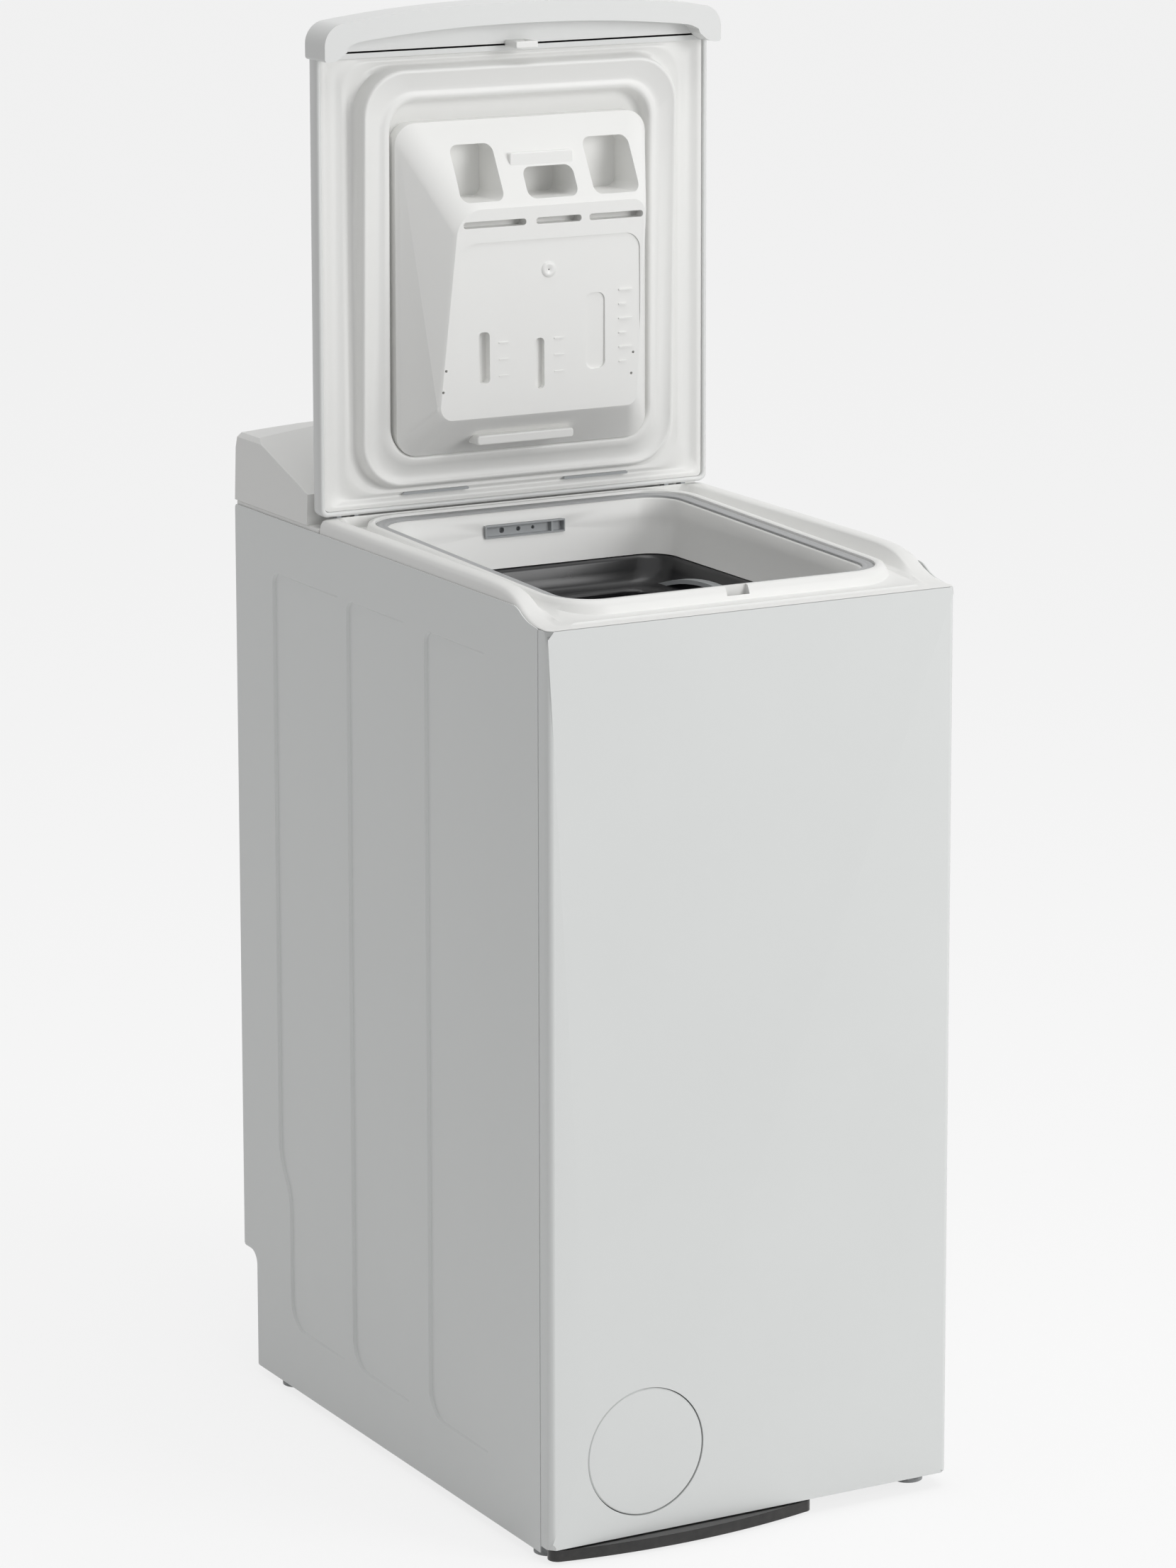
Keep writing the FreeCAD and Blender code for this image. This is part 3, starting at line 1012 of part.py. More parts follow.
def hanger_brackets():
    """Steel corner brackets that carry the springs, fixed to the side panels."""
    made = []
    for sx in (-1, 1):
        for sy in (-1, 1):
            y = sy * SPRING_HIGH_Y
            a, b = sorted((sx * (HALF_W - SHEET), sx * (SPRING_X - 8)))
            c, d = sorted((sx * (HALF_W - SHEET), sx * (HALF_W - SHEET - 4)))
            arm = box(a, b, y - 14, y + 14, SPRING_TOP, SPRING_TOP + 4)
            made.append(arm.fuse(box(c, d, y - 14, y + 14, SPRING_TOP - 28, SPRING_TOP + 4)).removeSplitter())
    return made


# ---------------------------------------------------------------- water and drain
def inlet_valve():
    """Solenoid inlet valve: a threaded spigot out of the back, a body and a coil."""
    x, z, y = INLET_X, PORT_Z, REAR_OUT - SHEET
    neck = tube(INLET_R + 1.0, 8.0, (x, y - 25, z), (x, BACK_Y, z))
    thread = tube(INLET_R, 8.0, (x, BACK_Y, z), (x, BACK_Y + INLET_LONG, z))
    body = box(x - 18, x + 18, y - 52, y - 24, z - 16, z + 16)
    plate_piece = box(x - 24, x + 24, y - 5, y, z - 20, z + 20).cut(cyl(10, (x, y - 10, z), (x, y + 1, z)))
    coil = cyl(13, (x, y - 38, z + 16), (x, y - 38, z + 42))
    outlet = cyl(6, (x, y - 38, z - 36), (x, y - 38, z - 16))
    return body.fuse([neck, thread, plate_piece, coil, outlet]).removeSplitter()


def cord_gland():
    """Strain relief for the mains lead in the back sheet."""
    x, z, y = CORD_X, PORT_Z, REAR_OUT
    collar = cyl(15, (x, y, z), (x, y + 4, z))
    neck = cyl(10.9, (x, y - 10, z), (x, y, z))
    nose = Part.makeCone(9, 6, 7, V(x, y + 4, z), V(0, 1, 0))
    bore = cyl(3.6, (x, y - 20, z), (x, y + 20, z))
    return collar.fuse([neck, nose]).cut(bore).removeSplitter()


def drain_outlet():
    """Spigot for the drain hose in the back sheet."""
    x, z, y = DRAIN_X, PORT_Z, REAR_OUT
    pipe = tube(11, 8.5, (x, y - 22, z), (x, y + 11, z))
    collar = tube(18, 8.5, (x, y, z), (x, y + 3, z))
    inner = tube(16, 8.5, (x, y - SHEET - 3, z), (x, y - SHEET, z))
    return pipe.fuse([collar, inner]).removeSplitter()


PUMP_Z = FILTER_Z


def along_pump(radius, y0, y1):
    """Round bar on the pump's axis between two depths behind the filter's face."""
    return cyl(radius, (FILTER_X, HOUSING_Y + y0, PUMP_Z), (FILTER_X, HOUSING_Y + y1, PUMP_Z))


def drain_pump():
    """Drain pump: filter housing behind the round opening, volute, stator and the stub to the sump."""
    bore = HOUSING_R - HOUSING_WALL
    deep = HOUSING_LONG
    stub = cyl(STUB_R, sump_line(0.0), sump_line(0.42))
    body = along_pump(HOUSING_R, 0, deep + 4).fuse([stub, along_pump(30, deep, deep + 25),
                                                    along_pump(24, deep + 24, deep + 70)])
    outlet = cyl(9, (FILTER_X - 12, HOUSING_Y + deep + 13, PUMP_Z + 12),
                 (FILTER_X - 45, HOUSING_Y + deep + 13, PUMP_Z + 45))
    feet = box(FILTER_X - 30, FILTER_X + 30, HOUSING_Y + 20, HOUSING_Y + 84, BASE_UP, PUMP_Z - 20)
    body = body.fuse([outlet, feet]).cut(along_pump(bore, -1, deep))
    body = body.cut(cyl(STUB_R - 2.5, sump_line(0.0), sump_line(0.5))).cut(along_pump(26, deep + 4, deep + 21))
    return body.cut(along_pump(SPINDLE_R + FIT, deep - 1, deep + 35)).removeSplitter()


def pump_impeller():
    """Four-bladed impeller in the pump's volute."""
    y0 = HOUSING_LONG + 6
    hub = along_pump(6, y0, y0 + 12).fuse(along_pump(SPINDLE_R, y0 - 1, y0 + 27))
    front, back = HOUSING_Y + y0, HOUSING_Y + y0 + 10
    blades = [box(FILTER_X - 22, FILTER_X + 22, front, back, PUMP_Z - 1, PUMP_Z + 1),
              box(FILTER_X - 1, FILTER_X + 1, front, back, PUMP_Z - 22, PUMP_Z + 22)]
    return hub.fuse(blades).removeSplitter()


def lint_filter():
    """Lint filter with its grip bar, which turns in the pump housing."""
    plug_r = HOUSING_R - HOUSING_WALL - FIT
    y0 = HOUSING_Y
    rim = along_pump(HOUSING_R + 2, -6, -GAP).cut(along_pump(20, -7, 0))
    bar = pad(FILTER_X - 24, FILTER_X + 24, y0 - 14, y0 - 2, PUMP_Z - 4, PUMP_Z + 4, 3)
    cage = along_pump(24, 11, 78).cut(along_pump(22, 10, 79))
    for k in range(5):
        cage = cage.cut(box(FILTER_X - 40, FILTER_X + 40, y0 + 18 + 12 * k, y0 + 24 + 12 * k, PUMP_Z - 12, PUMP_Z + 12))
    return along_pump(plug_r, -3, 12).fuse([rim, bar, cage]).removeSplitter()


def filter_cover():
    """Round snap-in cover, flush with the front panel."""
    x, z, y = FILTER_X, FILTER_Z, FRONT_Y
    face = cyl(FILTER_R, (x, y, z), (x, y + 2.0, z))
    skirt = tube(FILTER_R, FILTER_R - 2, (x, y, z), (x, y + 8, z))
    clips = [box(x - 6, x + 6, y + 1.5, y + 14, z + s * 50 - 1, z + s * 50 + 1) for s in (-1, 1)]
    return face.fuse([skirt] + clips).removeSplitter()


def sump_hose():
    """Short rubber bellows from the sump to the pump, over both stubs."""
    hose = cyl(STUB_R + 3, sump_line(0.36), sump_line(0.84))
    return hose.cut(cyl(STUB_R + FIT, sump_line(0.3), sump_line(0.9)))


# ---------------------------------------------------------------- castors
def castor_lever():
    """Black pull lever along the foot of the front, bowed forward, on a pin at its left end."""
    z0, z1 = LEVER_Z
    px, py = LEVER_PIVOT
    r = LEVER_END_R
    right = LEVER_RIGHT
    start, end = V(px - 2, py - r + 0.3, 0), V(right - 8, py - r, 0)
    s = math.sqrt(0.5)
    edges = [Part.Arc(start, V((px + right) / 2, LEVER_BOW_Y, 0), end).toShape(),
             Part.Arc(end, V(right, py - r + 8, 0), V(right - 8, py - r + 16, 0)).toShape(),
             Part.makeLine(V(right - 8, py - r + 16, 0), V(px + 3, py + r * 0.94, 0)),
             Part.Arc(V(px + 3, py + r * 0.94, 0), V(px - r * s, py + r * s, 0), V(px - r, py, 0)).toShape(),
             Part.Arc(V(px - r, py, 0), V(px - r * 0.8, py - r * 0.6, 0), start).toShape()]
    bar = Part.Face(Part.Wire(edges)).extrude(V(0, 0, z1 - z0))
    bar.translate(V(0, 0, z0))
    pin = cyl(LEVER_PIN_R, (px, py, z1 - 1), (px, py, BASE_UP + 3))
    cam = cyl(7, (px, py, z1 - 1), (px, py, BASE_UP - 8 - GAP))
    return bar.fuse([pin, cam]).removeSplitter()


def castor_carriage():
    """Steel cross-beam that lowers the two castors, with an ear each side of each wheel and two guide studs."""
    z, y = CASTOR_Z, CASTOR_Y
    top = BASE_PLATE_Z - GAP
    long = HALF_W - 50
    parts = [box(-long, long, y + 14, y + 28, top - 2, top)]
    for x in GUIDE_X:
        parts.append(cyl(GUIDE_R, (x, y + 21, top - 1), (x, y + 21, BASE_UP + 12)))
    for x in CASTOR_X:
        for s in (-1, 1):
            a, b = sorted((x + s * 8.0, x + s * 10.0))
            parts.append(box(a, b, y - 8, y + 15, z - 6, z + 6))
        parts.append(cyl(CASTOR_AXLE_R, (x - 10, y, z), (x + 10, y, z)))
    return box(-long, long, y + 14, y + 17, 12, top).fuse(parts).removeSplitter()


def castor_wheel(x):
    """Small nylon roller."""
    wheel = tube(CASTOR_R, CASTOR_AXLE_R + FIT, (x - 7.5, CASTOR_Y, CASTOR_Z), (x + 7.5, CASTOR_Y, CASTOR_Z))
    return soften(wheel, 1.0, lambda e: e.BoundBox.XLength < 0.01 and e.BoundBox.YLength > 2 * CASTOR_R - 0.1)


# ---------------------------------------------------------------- build
def main():
    """Write every node."""
    os.makedirs(PARTS, exist_ok=True)
    left = side_panel()
    save("side_panel_left", left)
    save("side_panel_right", mirrored(left))
    save("front_panel", front_panel())
    save("rear_panel", rear_panel())
    save("rear_screws", *rear_screws())
    save("base_pan", base_pan())
    save("foot_front_left", foot(-FOOT_X, FOOT_FRONT_Y))
    save("foot_front_right", foot(FOOT_X, FOOT_FRONT_Y))
    save("rear_feet", foot(-FOOT_X, FOOT_BACK_Y), foot(FOOT_X, FOOT_BACK_Y))
    save("worktop", worktop())
    save("well_seal", well_seal())
    save("nozzle_block", nozzle_block())
    save("door_gasket", door_gasket())
    save("console_housing", console_housing())
    save("program_knob", program_knob())
    for k, u in enumerate(BUTTON_U):
        save("button_%d" % (k + 1), button(u))
    save("display_window", display_window())
    save("control_board", control_board())
    save("lid_outer", lid_outer())
    save("lid_cap", lid_cap())
    save("lid_inner", lid_inner())
    save("dispenser", dispenser())
    save("lid_hinge_leaves", *[lid_hinge_leaf(x) for x in HINGE_X])
    save("hinge_brackets", *[hinge_bracket(x) for x in HINGE_X])
    save("lid_lock", lid_lock())
    save("tub_left", tub_half(-1))
    save("tub_right", tub_half(1))
    save("bearings", bearing(-1), bearing(1))
    save("ballast_front", counterweight(True))
    save("ballast_rear", counterweight(False))
    save("heater", heater())
    save("motor", motor())
    save("motor_rotor", motor_rotor())
    save("drive_belt", drive_belt())
    save("drum_shell", drum_shell())
    save("drum_shafts", drum_shaft(-1), drum_shaft(1))
    save("drum_pulley", drum_pulley())
    save("lifters", *lifters())
    save("drum_flap_front", drum_flap(True))
    save("drum_flap_rear", drum_flap(False))
    save("hanger_springs", *hangers())
    save("hanger_brackets", *hanger_brackets())
    save("inlet_valve", inlet_valve())
    save("cord_gland", cord_gland())
    save("drain_outlet", drain_outlet())
    save("drain_pump", drain_pump())
    save("pump_impeller", pump_impeller())
    save("lint_filter", lint_filter())
    save("filter_cover", filter_cover())
    save("sump_hose", sump_hose())
    save("castor_lever", castor_lever())
    save("castor_carriage", castor_carriage())
    save("castor_wheel_left", castor_wheel(CASTOR_X[0]))
    save("castor_wheel_right", castor_wheel(CASTOR_X[1]))


main()
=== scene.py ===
# %% [markdown]
# # A narrow top load washing machine
# The cabinet is 400 mm wide and stands on a pale floor with its lid open. The solids come from the CAD frame,
# where every piece that moves has its joint. This script gives them their finish, and models again, as finer
# meshes, the shells that the eye rests on: the pressed sides, the top moulding, the lid and its detergent box.

# %% Load the frame
import json
import math

import bmesh
import bpy
from mathutils import Matrix, Vector


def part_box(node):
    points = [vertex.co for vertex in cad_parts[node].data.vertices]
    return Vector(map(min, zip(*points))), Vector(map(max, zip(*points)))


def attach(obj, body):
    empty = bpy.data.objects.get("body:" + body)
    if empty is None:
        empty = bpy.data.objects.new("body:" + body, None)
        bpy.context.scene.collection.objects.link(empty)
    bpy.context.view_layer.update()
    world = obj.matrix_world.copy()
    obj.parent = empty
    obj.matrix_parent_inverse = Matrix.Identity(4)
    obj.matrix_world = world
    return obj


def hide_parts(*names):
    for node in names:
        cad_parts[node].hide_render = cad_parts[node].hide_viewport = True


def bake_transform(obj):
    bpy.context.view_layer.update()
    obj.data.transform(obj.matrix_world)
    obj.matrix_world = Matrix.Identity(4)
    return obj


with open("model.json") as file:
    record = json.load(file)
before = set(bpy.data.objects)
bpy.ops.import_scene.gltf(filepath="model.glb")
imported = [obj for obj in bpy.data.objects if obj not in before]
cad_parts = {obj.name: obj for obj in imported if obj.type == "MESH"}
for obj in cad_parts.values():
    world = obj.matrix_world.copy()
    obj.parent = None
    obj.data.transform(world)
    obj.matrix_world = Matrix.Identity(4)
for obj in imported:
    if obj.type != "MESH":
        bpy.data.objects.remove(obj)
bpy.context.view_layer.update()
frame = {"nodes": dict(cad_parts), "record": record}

# %% [markdown]
# ## Working in millimetres
# Blender works in metres, but an appliance is thought of in millimetres. One constant keeps the code readable:
# 18 * MM is eighteen millimetres. Places are not typed in twice. They are read from the CAD nodes' own boxes.

# %% Units and places
MM = 0.001


def low(node):
    """Lowest corner of a CAD node, in metres."""
    return Vector(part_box(node)[0])


def high(node):
    """Highest corner of a CAD node, in metres."""
    return Vector(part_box(node)[1])


HALF_W = high("side_panel_right").x
FRONT_Y = low("front_panel").y
BACK_Y = high("side_panel_right").y
SIDE_TOP = high("side_panel_right").z
print("half width", HALF_W, "front", FRONT_Y, "back", BACK_Y, "side top", SIDE_TOP)

# %% [markdown]
# ## The camera
# The machine is seen from its front left, from a little above, with a long lens. A long lens keeps upright
# edges nearly parallel. The lens is shifted a little, as with a view camera, so that the whole height fits.

# %% Camera
SENSOR = 36.0
IMAGE_W, IMAGE_H = 1659, 2212
CAMERA_AT = Vector((-2341.6, -4256.8, 1743.9)) * MM
CAMERA_YAW, CAMERA_PITCH = math.radians(29.38), math.radians(-10.297)
FOCAL_SHARE = 7856.3 / IMAGE_H
SHIFT = Vector((-0.0319, -0.1835))

camera_data = bpy.data.cameras.new("camera")
camera = bpy.data.objects.new("camera", camera_data)
bpy.context.scene.collection.objects.link(camera)
camera.location = CAMERA_AT
camera.rotation_euler = (math.pi / 2 + CAMERA_PITCH, 0.0, -CAMERA_YAW)
camera_data.sensor_fit = "VERTICAL"
camera_data.sensor_height = SENSOR
camera_data.lens = FOCAL_SHARE * SENSOR
camera_data.shift_x, camera_data.shift_y = SHIFT
camera_data.clip_end = 50.0
bpy.context.scene.camera = camera
print("lens %.1f mm" % camera_data.lens)

# %% [markdown]
# ## Small helpers for node trees
# Every finish below is a Principled shader with a few texture nodes in front of it. Two helpers keep those
# trees short to read: one adds a node with its settings, the other joins two sockets.

# %% Node helpers
def add_node(tree, kind, settings=None, values=None):
    """A new node, with its properties and the values of its unlinked inputs."""
    node = tree.nodes.new(kind)
    for name, value in (settings or {}).items():
        setattr(node, name, value)
    for name, value in (values or {}).items():
        node.inputs[name].default_value = value
    return node


def join(tree, source, target):
    tree.links.new(source, target)


def tone(red, green, blue):
    """A colour picked on a 0 to 255 screen scale, as the linear value that shaders want."""
    return tuple(((c / 255 + 0.055) / 1.055) ** 2.4 for c in (red, green, blue)) + (1.0,)


def new_group(name, inputs, outputs):
    """An empty shader node group: rows of (name, kind, default) in, and of (name, kind) out."""
    tree = bpy.data.node_groups.new(name, "ShaderNodeTree")
    for label, kind, value in inputs:
        socket = tree.interface.new_socket(name=label, in_out="INPUT", socket_type=kind)
        socket.default_value = value
    for label, kind in outputs:
        tree.interface.new_socket(name=label, in_out="OUTPUT", socket_type=kind)
    return tree, tree.nodes.new("NodeGroupInput"), tree.nodes.new("NodeGroupOutput")


# %% [markdown]
# ## Effect one: a surface that is never quite even
# Enamel, plastic and rubber all drift a little in shade and in gloss over a hand's width. A flat colour looks
# like a drawing. This group takes a colour and a roughness and lets a large soft noise carry both a few
# percent up and down. It is used by almost every finish, so it is built once.

# %% The drift group
def make_drift():
    tree, given, result = new_group(
        "surface drift",
        [("Colour", "NodeSocketColor", (0.8, 0.8, 0.8, 1.0)), ("Shade Depth", "NodeSocketFloat", 0.04),
         ("Roughness", "NodeSocketFloat", 0.4), ("Gloss Depth", "NodeSocketFloat", 0.05),
         ("Patches per Metre", "NodeSocketFloat", 6.0)],
        [("Colour", "NodeSocketColor"), ("Roughness", "NodeSocketFloat")])
    place = add_node(tree, "ShaderNodeTexCoord")
    noise = add_node(tree, "ShaderNodeTexNoise", values={"Detail": 4.0, "Roughness": 0.55})
    join(tree, place.outputs["Object"], noise.inputs["Vector"])
    join(tree, given.outputs["Patches per Metre"], noise.inputs["Scale"])
    shade = add_node(tree, "ShaderNodeMapRange", values={"From Min": 0.3, "From Max": 0.7, "To Max": 1.0})
    less = add_node(tree, "ShaderNodeMath", {"operation": "SUBTRACT"}, {0: 1.0})
    join(tree, noise.outputs["Fac"], shade.inputs["Value"])
    join(tree, given.outputs["Shade Depth"], less.inputs[1])
    join(tree, less.outputs["Value"], shade.inputs["To Min"])
    tint = add_node(tree, "ShaderNodeVectorMath", {"operation": "SCALE"})
    join(tree, given.outputs["Colour"], tint.inputs[0])
    join(tree, shade.outputs["Result"], tint.inputs["Scale"])
    join(tree, tint.outputs["Vector"], result.inputs["Colour"])
    gloss = add_node(tree, "ShaderNodeMath", {"operation": "MULTIPLY_ADD"})
    centred = add_node(tree, "ShaderNodeMath", {"operation": "SUBTRACT"}, {1: 0.5})
    join(tree, noise.outputs["Fac"], centred.inputs[0])
    join(tree, centred.outputs["Value"], gloss.inputs[0])
    join(tree, given.outputs["Gloss Depth"], gloss.inputs[1])
    join(tree, given.outputs["Roughness"], gloss.inputs[2])
    join(tree, gloss.outputs["Value"], result.inputs["Roughness"])
    return tree


DRIFT = make_drift()
print("group:", DRIFT.name)

# %% [markdown]
# ## Effect two: grain
# Sprayed enamel has orange peel, a moulded face carries the spark-eroded grain of its tool, and a casting
# keeps the sand. They are one effect at three sizes: a fine noise that pushes the normal. Stretching it along
# one axis gives the brushed look of rolled stainless sheet. The group puts out a height for a Bump node.

# %% The grain group
def make_grain():
    tree, given, result = new_group(
        "surface grain",
        [("Grains per Metre", "NodeSocketFloat", 900.0), ("Stretch", "NodeSocketVector", (1.0, 1.0, 1.0)),
         ("Detail", "NodeSocketFloat", 2.0)],
        [("Height", "NodeSocketFloat")])
    place = add_node(tree, "ShaderNodeTexCoord")
    pull = add_node(tree, "ShaderNodeVectorMath", {"operation": "MULTIPLY"})
    noise = add_node(tree, "ShaderNodeTexNoise")
    join(tree, place.outputs["Object"], pull.inputs[0])
    join(tree, given.outputs["Stretch"], pull.inputs[1])
    join(tree, pull.outputs["Vector"], noise.inputs["Vector"])
    join(tree, given.outputs["Grains per Metre"], noise.inputs["Scale"])
    join(tree, given.outputs["Detail"], noise.inputs["Detail"])
    join(tree, noise.outputs["Fac"], result.inputs["Height"])
    return tree


GRAIN = make_grain()
print("group:", GRAIN.name)

# %% [markdown]
# ## Effect three: dust that settles low
# Whatever is close to the floor greys a little. The group mixes a dust colour in below a stated height, broken
# up by noise so that no straight tide mark shows. Feet, castors and the release lever use it.

# %% The dust group
def make_dust():
    tree, given, result = new_group(
        "floor dust",
        [("Colour", "NodeSocketColor", (0.5, 0.5, 0.5, 1.0)), ("Dust", "NodeSocketColor", (0.4, 0.38, 0.35, 1.0)),
         ("Reach", "NodeSocketFloat", 0.03), ("Amount", "NodeSocketFloat", 0.3)],
        [("Colour", "NodeSocketColor"), ("Mask", "NodeSocketFloat")])
    place = add_node(tree, "ShaderNodeTexCoord")
    split = add_node(tree, "ShaderNodeSeparateXYZ")
    noise = add_node(tree, "ShaderNodeTexNoise", values={"Scale": 90.0, "Detail": 5.0})
    fall = add_node(tree, "ShaderNodeMapRange", values={"To Min": 1.0, "To Max": 0.0})
    join(tree, place.outputs["Object"], split.inputs[0])
    join(tree, place.outputs["Object"], noise.inputs["Vector"])
    join(tree, split.outputs["Z"], fall.inputs["Value"])
    join(tree, given.outputs["Reach"], fall.inputs["From Max"])
    broken = add_node(tree, "ShaderNodeMath", {"operation": "MULTIPLY"})
    amount = add_node(tree, "ShaderNodeMath", {"operation": "MULTIPLY"})
    join(tree, fall.outputs["Result"], broken.inputs[0])
    join(tree, noise.outputs["Fac"], broken.inputs[1])
    join(tree, broken.outputs["Value"], amount.inputs[0])
    join(tree, given.outputs["Amount"], amount.inputs[1])
    blend = add_node(tree, "ShaderNodeMix", {"data_type": "RGBA"})
    join(tree, amount.outputs["Value"], blend.inputs["Factor"])
    join(tree, given.outputs["Colour"], blend.inputs[6])
    join(tree, given.outputs["Dust"], blend.inputs[7])
    join(tree, blend.outputs[2], result.inputs["Colour"])
    join(tree, amount.outputs["Value"], result.inputs["Mask"])
    return tree


DUST = make_dust()
print("group:", DUST.name)

# %% [markdown]
# ## One recipe, many finishes
# A finish here is a colour, a gloss and a grain. The recipe puts the drift group in front of Base Color and
# Roughness, and the grain group in front of a Bump node. What is the same all over, such as metalness or the
# clear coat, is set straight on the shader.

# %% The finish recipe
def finish(name, colour, roughness, shade=0.03, gloss=0.06, patches=6.0, grains=900.0, bump=0.04,
           depth=0.0002, stretch=(1.0, 1.0, 1.0), detail=2.0, dust=0.0, **shader_values):
    """A material from the two groups, with plain shader values given by their socket names."""
    material = bpy.data.materials.new(name)
    material.use_nodes = True
    tree = material.node_tree
    shader = tree.nodes["Principled BSDF"]
    drift = add_node(tree, "ShaderNodeGroup", {"node_tree": DRIFT},
                     {"Colour": colour, "Shade Depth": shade, "Roughness": roughness, "Gloss Depth": gloss,
                      "Patches per Metre": patches})
    grain = add_node(tree, "ShaderNodeGroup", {"node_tree": GRAIN},
                     {"Grains per Metre": grains, "Stretch": stretch, "Detail": detail})
    push = add_node(tree, "ShaderNodeBump", values={"Strength": bump, "Distance": depth})
    join(tree, grain.outputs["Height"], push.inputs["Height"])
    join(tree, push.outputs["Normal"], shader.inputs["Normal"])
    join(tree, drift.outputs["Roughness"], shader.inputs["Roughness"])
    coloured = drift.outputs["Colour"]
    if dust:
        settled = add_node(tree, "ShaderNodeGroup", {"node_tree": DUST}, {"Amount": dust})
        join(tree, coloured, settled.inputs["Colour"])
        coloured = settled.outputs["Colour"]
    join(tree, coloured, shader.inputs["Base Color"])
    for socket, value in shader_values.items():
        shader.inputs[socket.replace("_", " ")].default_value = value
    material.diffuse_color = colour
    return material


# %% [markdown]
# ## The finishes of this machine
# The cabinet is steel, sprayed white and baked, a shade cooler than the mouldings. The lid, the top and the
# detergent box are white plastic, each from its own tool, so each has its own grain. Inside are stainless
# sheet, zinc-coated steel, cast aluminium, concrete ballast and black rubber.

# %% Enamel and white plastics
ENAMEL = finish("cabinet enamel", tone(226, 228, 227), 0.34, shade=0.015, grains=420.0, bump=0.10,
                depth=0.0003, Coat_Weight=0.15, Coat_Roughness=0.12)
TOP_PLASTIC = finish("top moulding plastic", tone(240, 240, 238), 0.40, shade=0.012, grains=2600.0, bump=0.06)
LID_PLASTIC = finish("lid skin plastic", tone(228, 229, 228), 0.36, shade=0.012, grains=1800.0, bump=0.05)
LINER_PLASTIC = finish("lid liner plastic", tone(240, 240, 238), 0.38, shade=0.012, grains=2200.0, bump=0.05)
BOX_PLASTIC = finish("detergent box plastic", tone(241, 241, 239), 0.33, shade=0.012, grains=3000.0, bump=0.04)
CONSOLE_PLASTIC = finish("console plastic", tone(226, 228, 228), 0.35, shade=0.015, grains=1500.0, bump=0.05)

# %% Rubbers and coloured plastics
SEAL_RUBBER = finish("grey seal rubber", tone(178, 179, 180), 0.62, shade=0.06, grains=1400.0, bump=0.10)
GASKET_RUBBER = finish("door gasket rubber", tone(34, 34, 36), 0.30, shade=0.20, gloss=0.14, patches=14.0,
                       grains=900.0, bump=0.12)
FOOT_RUBBER = finish("foot rubber", tone(46, 46, 48), 0.70, shade=0.15, grains=1200.0, bump=0.2, dust=0.5)
GREY_PLASTIC = finish("grey plastic", tone(176, 179, 181), 0.46, shade=0.03, grains=2200.0, bump=0.08, dust=0.2)
BLACK_PLASTIC = finish("black plastic", tone(20, 20, 21), 0.26, shade=0.15, grains=1600.0, bump=0.05, dust=0.12)
WINDOW_PLASTIC = finish("smoked window", tone(22, 23, 25), 0.08, shade=0.05, grains=300.0, bump=0.01)
BOARD_GREEN = finish("circuit board", tone(40, 96, 62), 0.40, shade=0.25, patches=160.0, grains=1500.0, bump=0.15)

# %% Metals and ballast
STAINLESS = finish("drum stainless", tone(205, 206, 208), 0.22, shade=0.05, gloss=0.10, grains=2400.0, bump=0.10,
                   stretch=(0.06, 1.0, 1.0), Metallic=1.0)
GALVANISED = finish("zinc-coated steel", tone(178, 181, 184), 0.42, shade=0.22, gloss=0.25, patches=60.0,
                    grains=700.0, bump=0.08, Metallic=0.9)
BRIGHT_STEEL = finish("machined steel", tone(186, 187, 190), 0.24, shade=0.08, grains=1800.0, bump=0.12,
                      stretch=(1.0, 1.0, 0.08), Metallic=1.0)
CAST_ALUMINIUM = finish("cast aluminium", tone(172, 174, 178), 0.45, shade=0.10, patches=25.0, grains=1100.0,
                        bump=0.35, depth=0.0004, detail=5.0, Metallic=0.95)
BALLAST = finish("concrete ballast", tone(128, 127, 124), 0.86, shade=0.30, patches=40.0, grains=500.0, bump=0.7,
                 depth=0.0008, detail=8.0)
print("finishes:", len(bpy.data.materials))

# %% [markdown]
# ## Dressing the CAD solids
# Each CAD node names a material slot in the record. A table turns that slot into a finish, so no solid is
# forgotten. The shells that this script models again get their finish when they are made.

# %% Finish by slot
SLOT_FINISH = {
    "painted_steel": ENAMEL, "galvanised_steel": GALVANISED, "white_plastic": TOP_PLASTIC,
    "grey_rubber": SEAL_RUBBER, "black_rubber": GASKET_RUBBER, "grey_plastic": GREY_PLASTIC,
    "black_plastic": BLACK_PLASTIC, "smoked_window": WINDOW_PLASTIC, "circuit_board": BOARD_GREEN,
    "stainless": STAINLESS, "bright_steel": BRIGHT_STEEL, "cast_aluminium": CAST_ALUMINIUM,
    "cast_weight": BALLAST,
}


def dress(thing, material):
    """Give an object one material, in every slot it has."""
    thing.data.materials.clear()
    thing.data.materials.append(material)


node_slot = {row["node"]: row["material_slot"] for row in frame["record"]["subparts"]}
for node, thing in frame["nodes"].items():
    dress(thing, SLOT_FINISH[node_slot[node]])
for node in ("rear_feet", "foot_front_left", "foot_front_right"):
    dress(frame["nodes"][node], GREY_PLASTIC)
print("dressed", len(frame["nodes"]), "CAD solids")

# %% [markdown]
# ## Floor and light
# A white machine is easily lost on white. The floor and the world are plain white to the eye, but the light on
# the machine is uneven on purpose: a broad soft lamp from the front right, a weaker one from above, and a dim
# world. The front then reads as white, the side as pale grey, and every pressed edge catches a line.

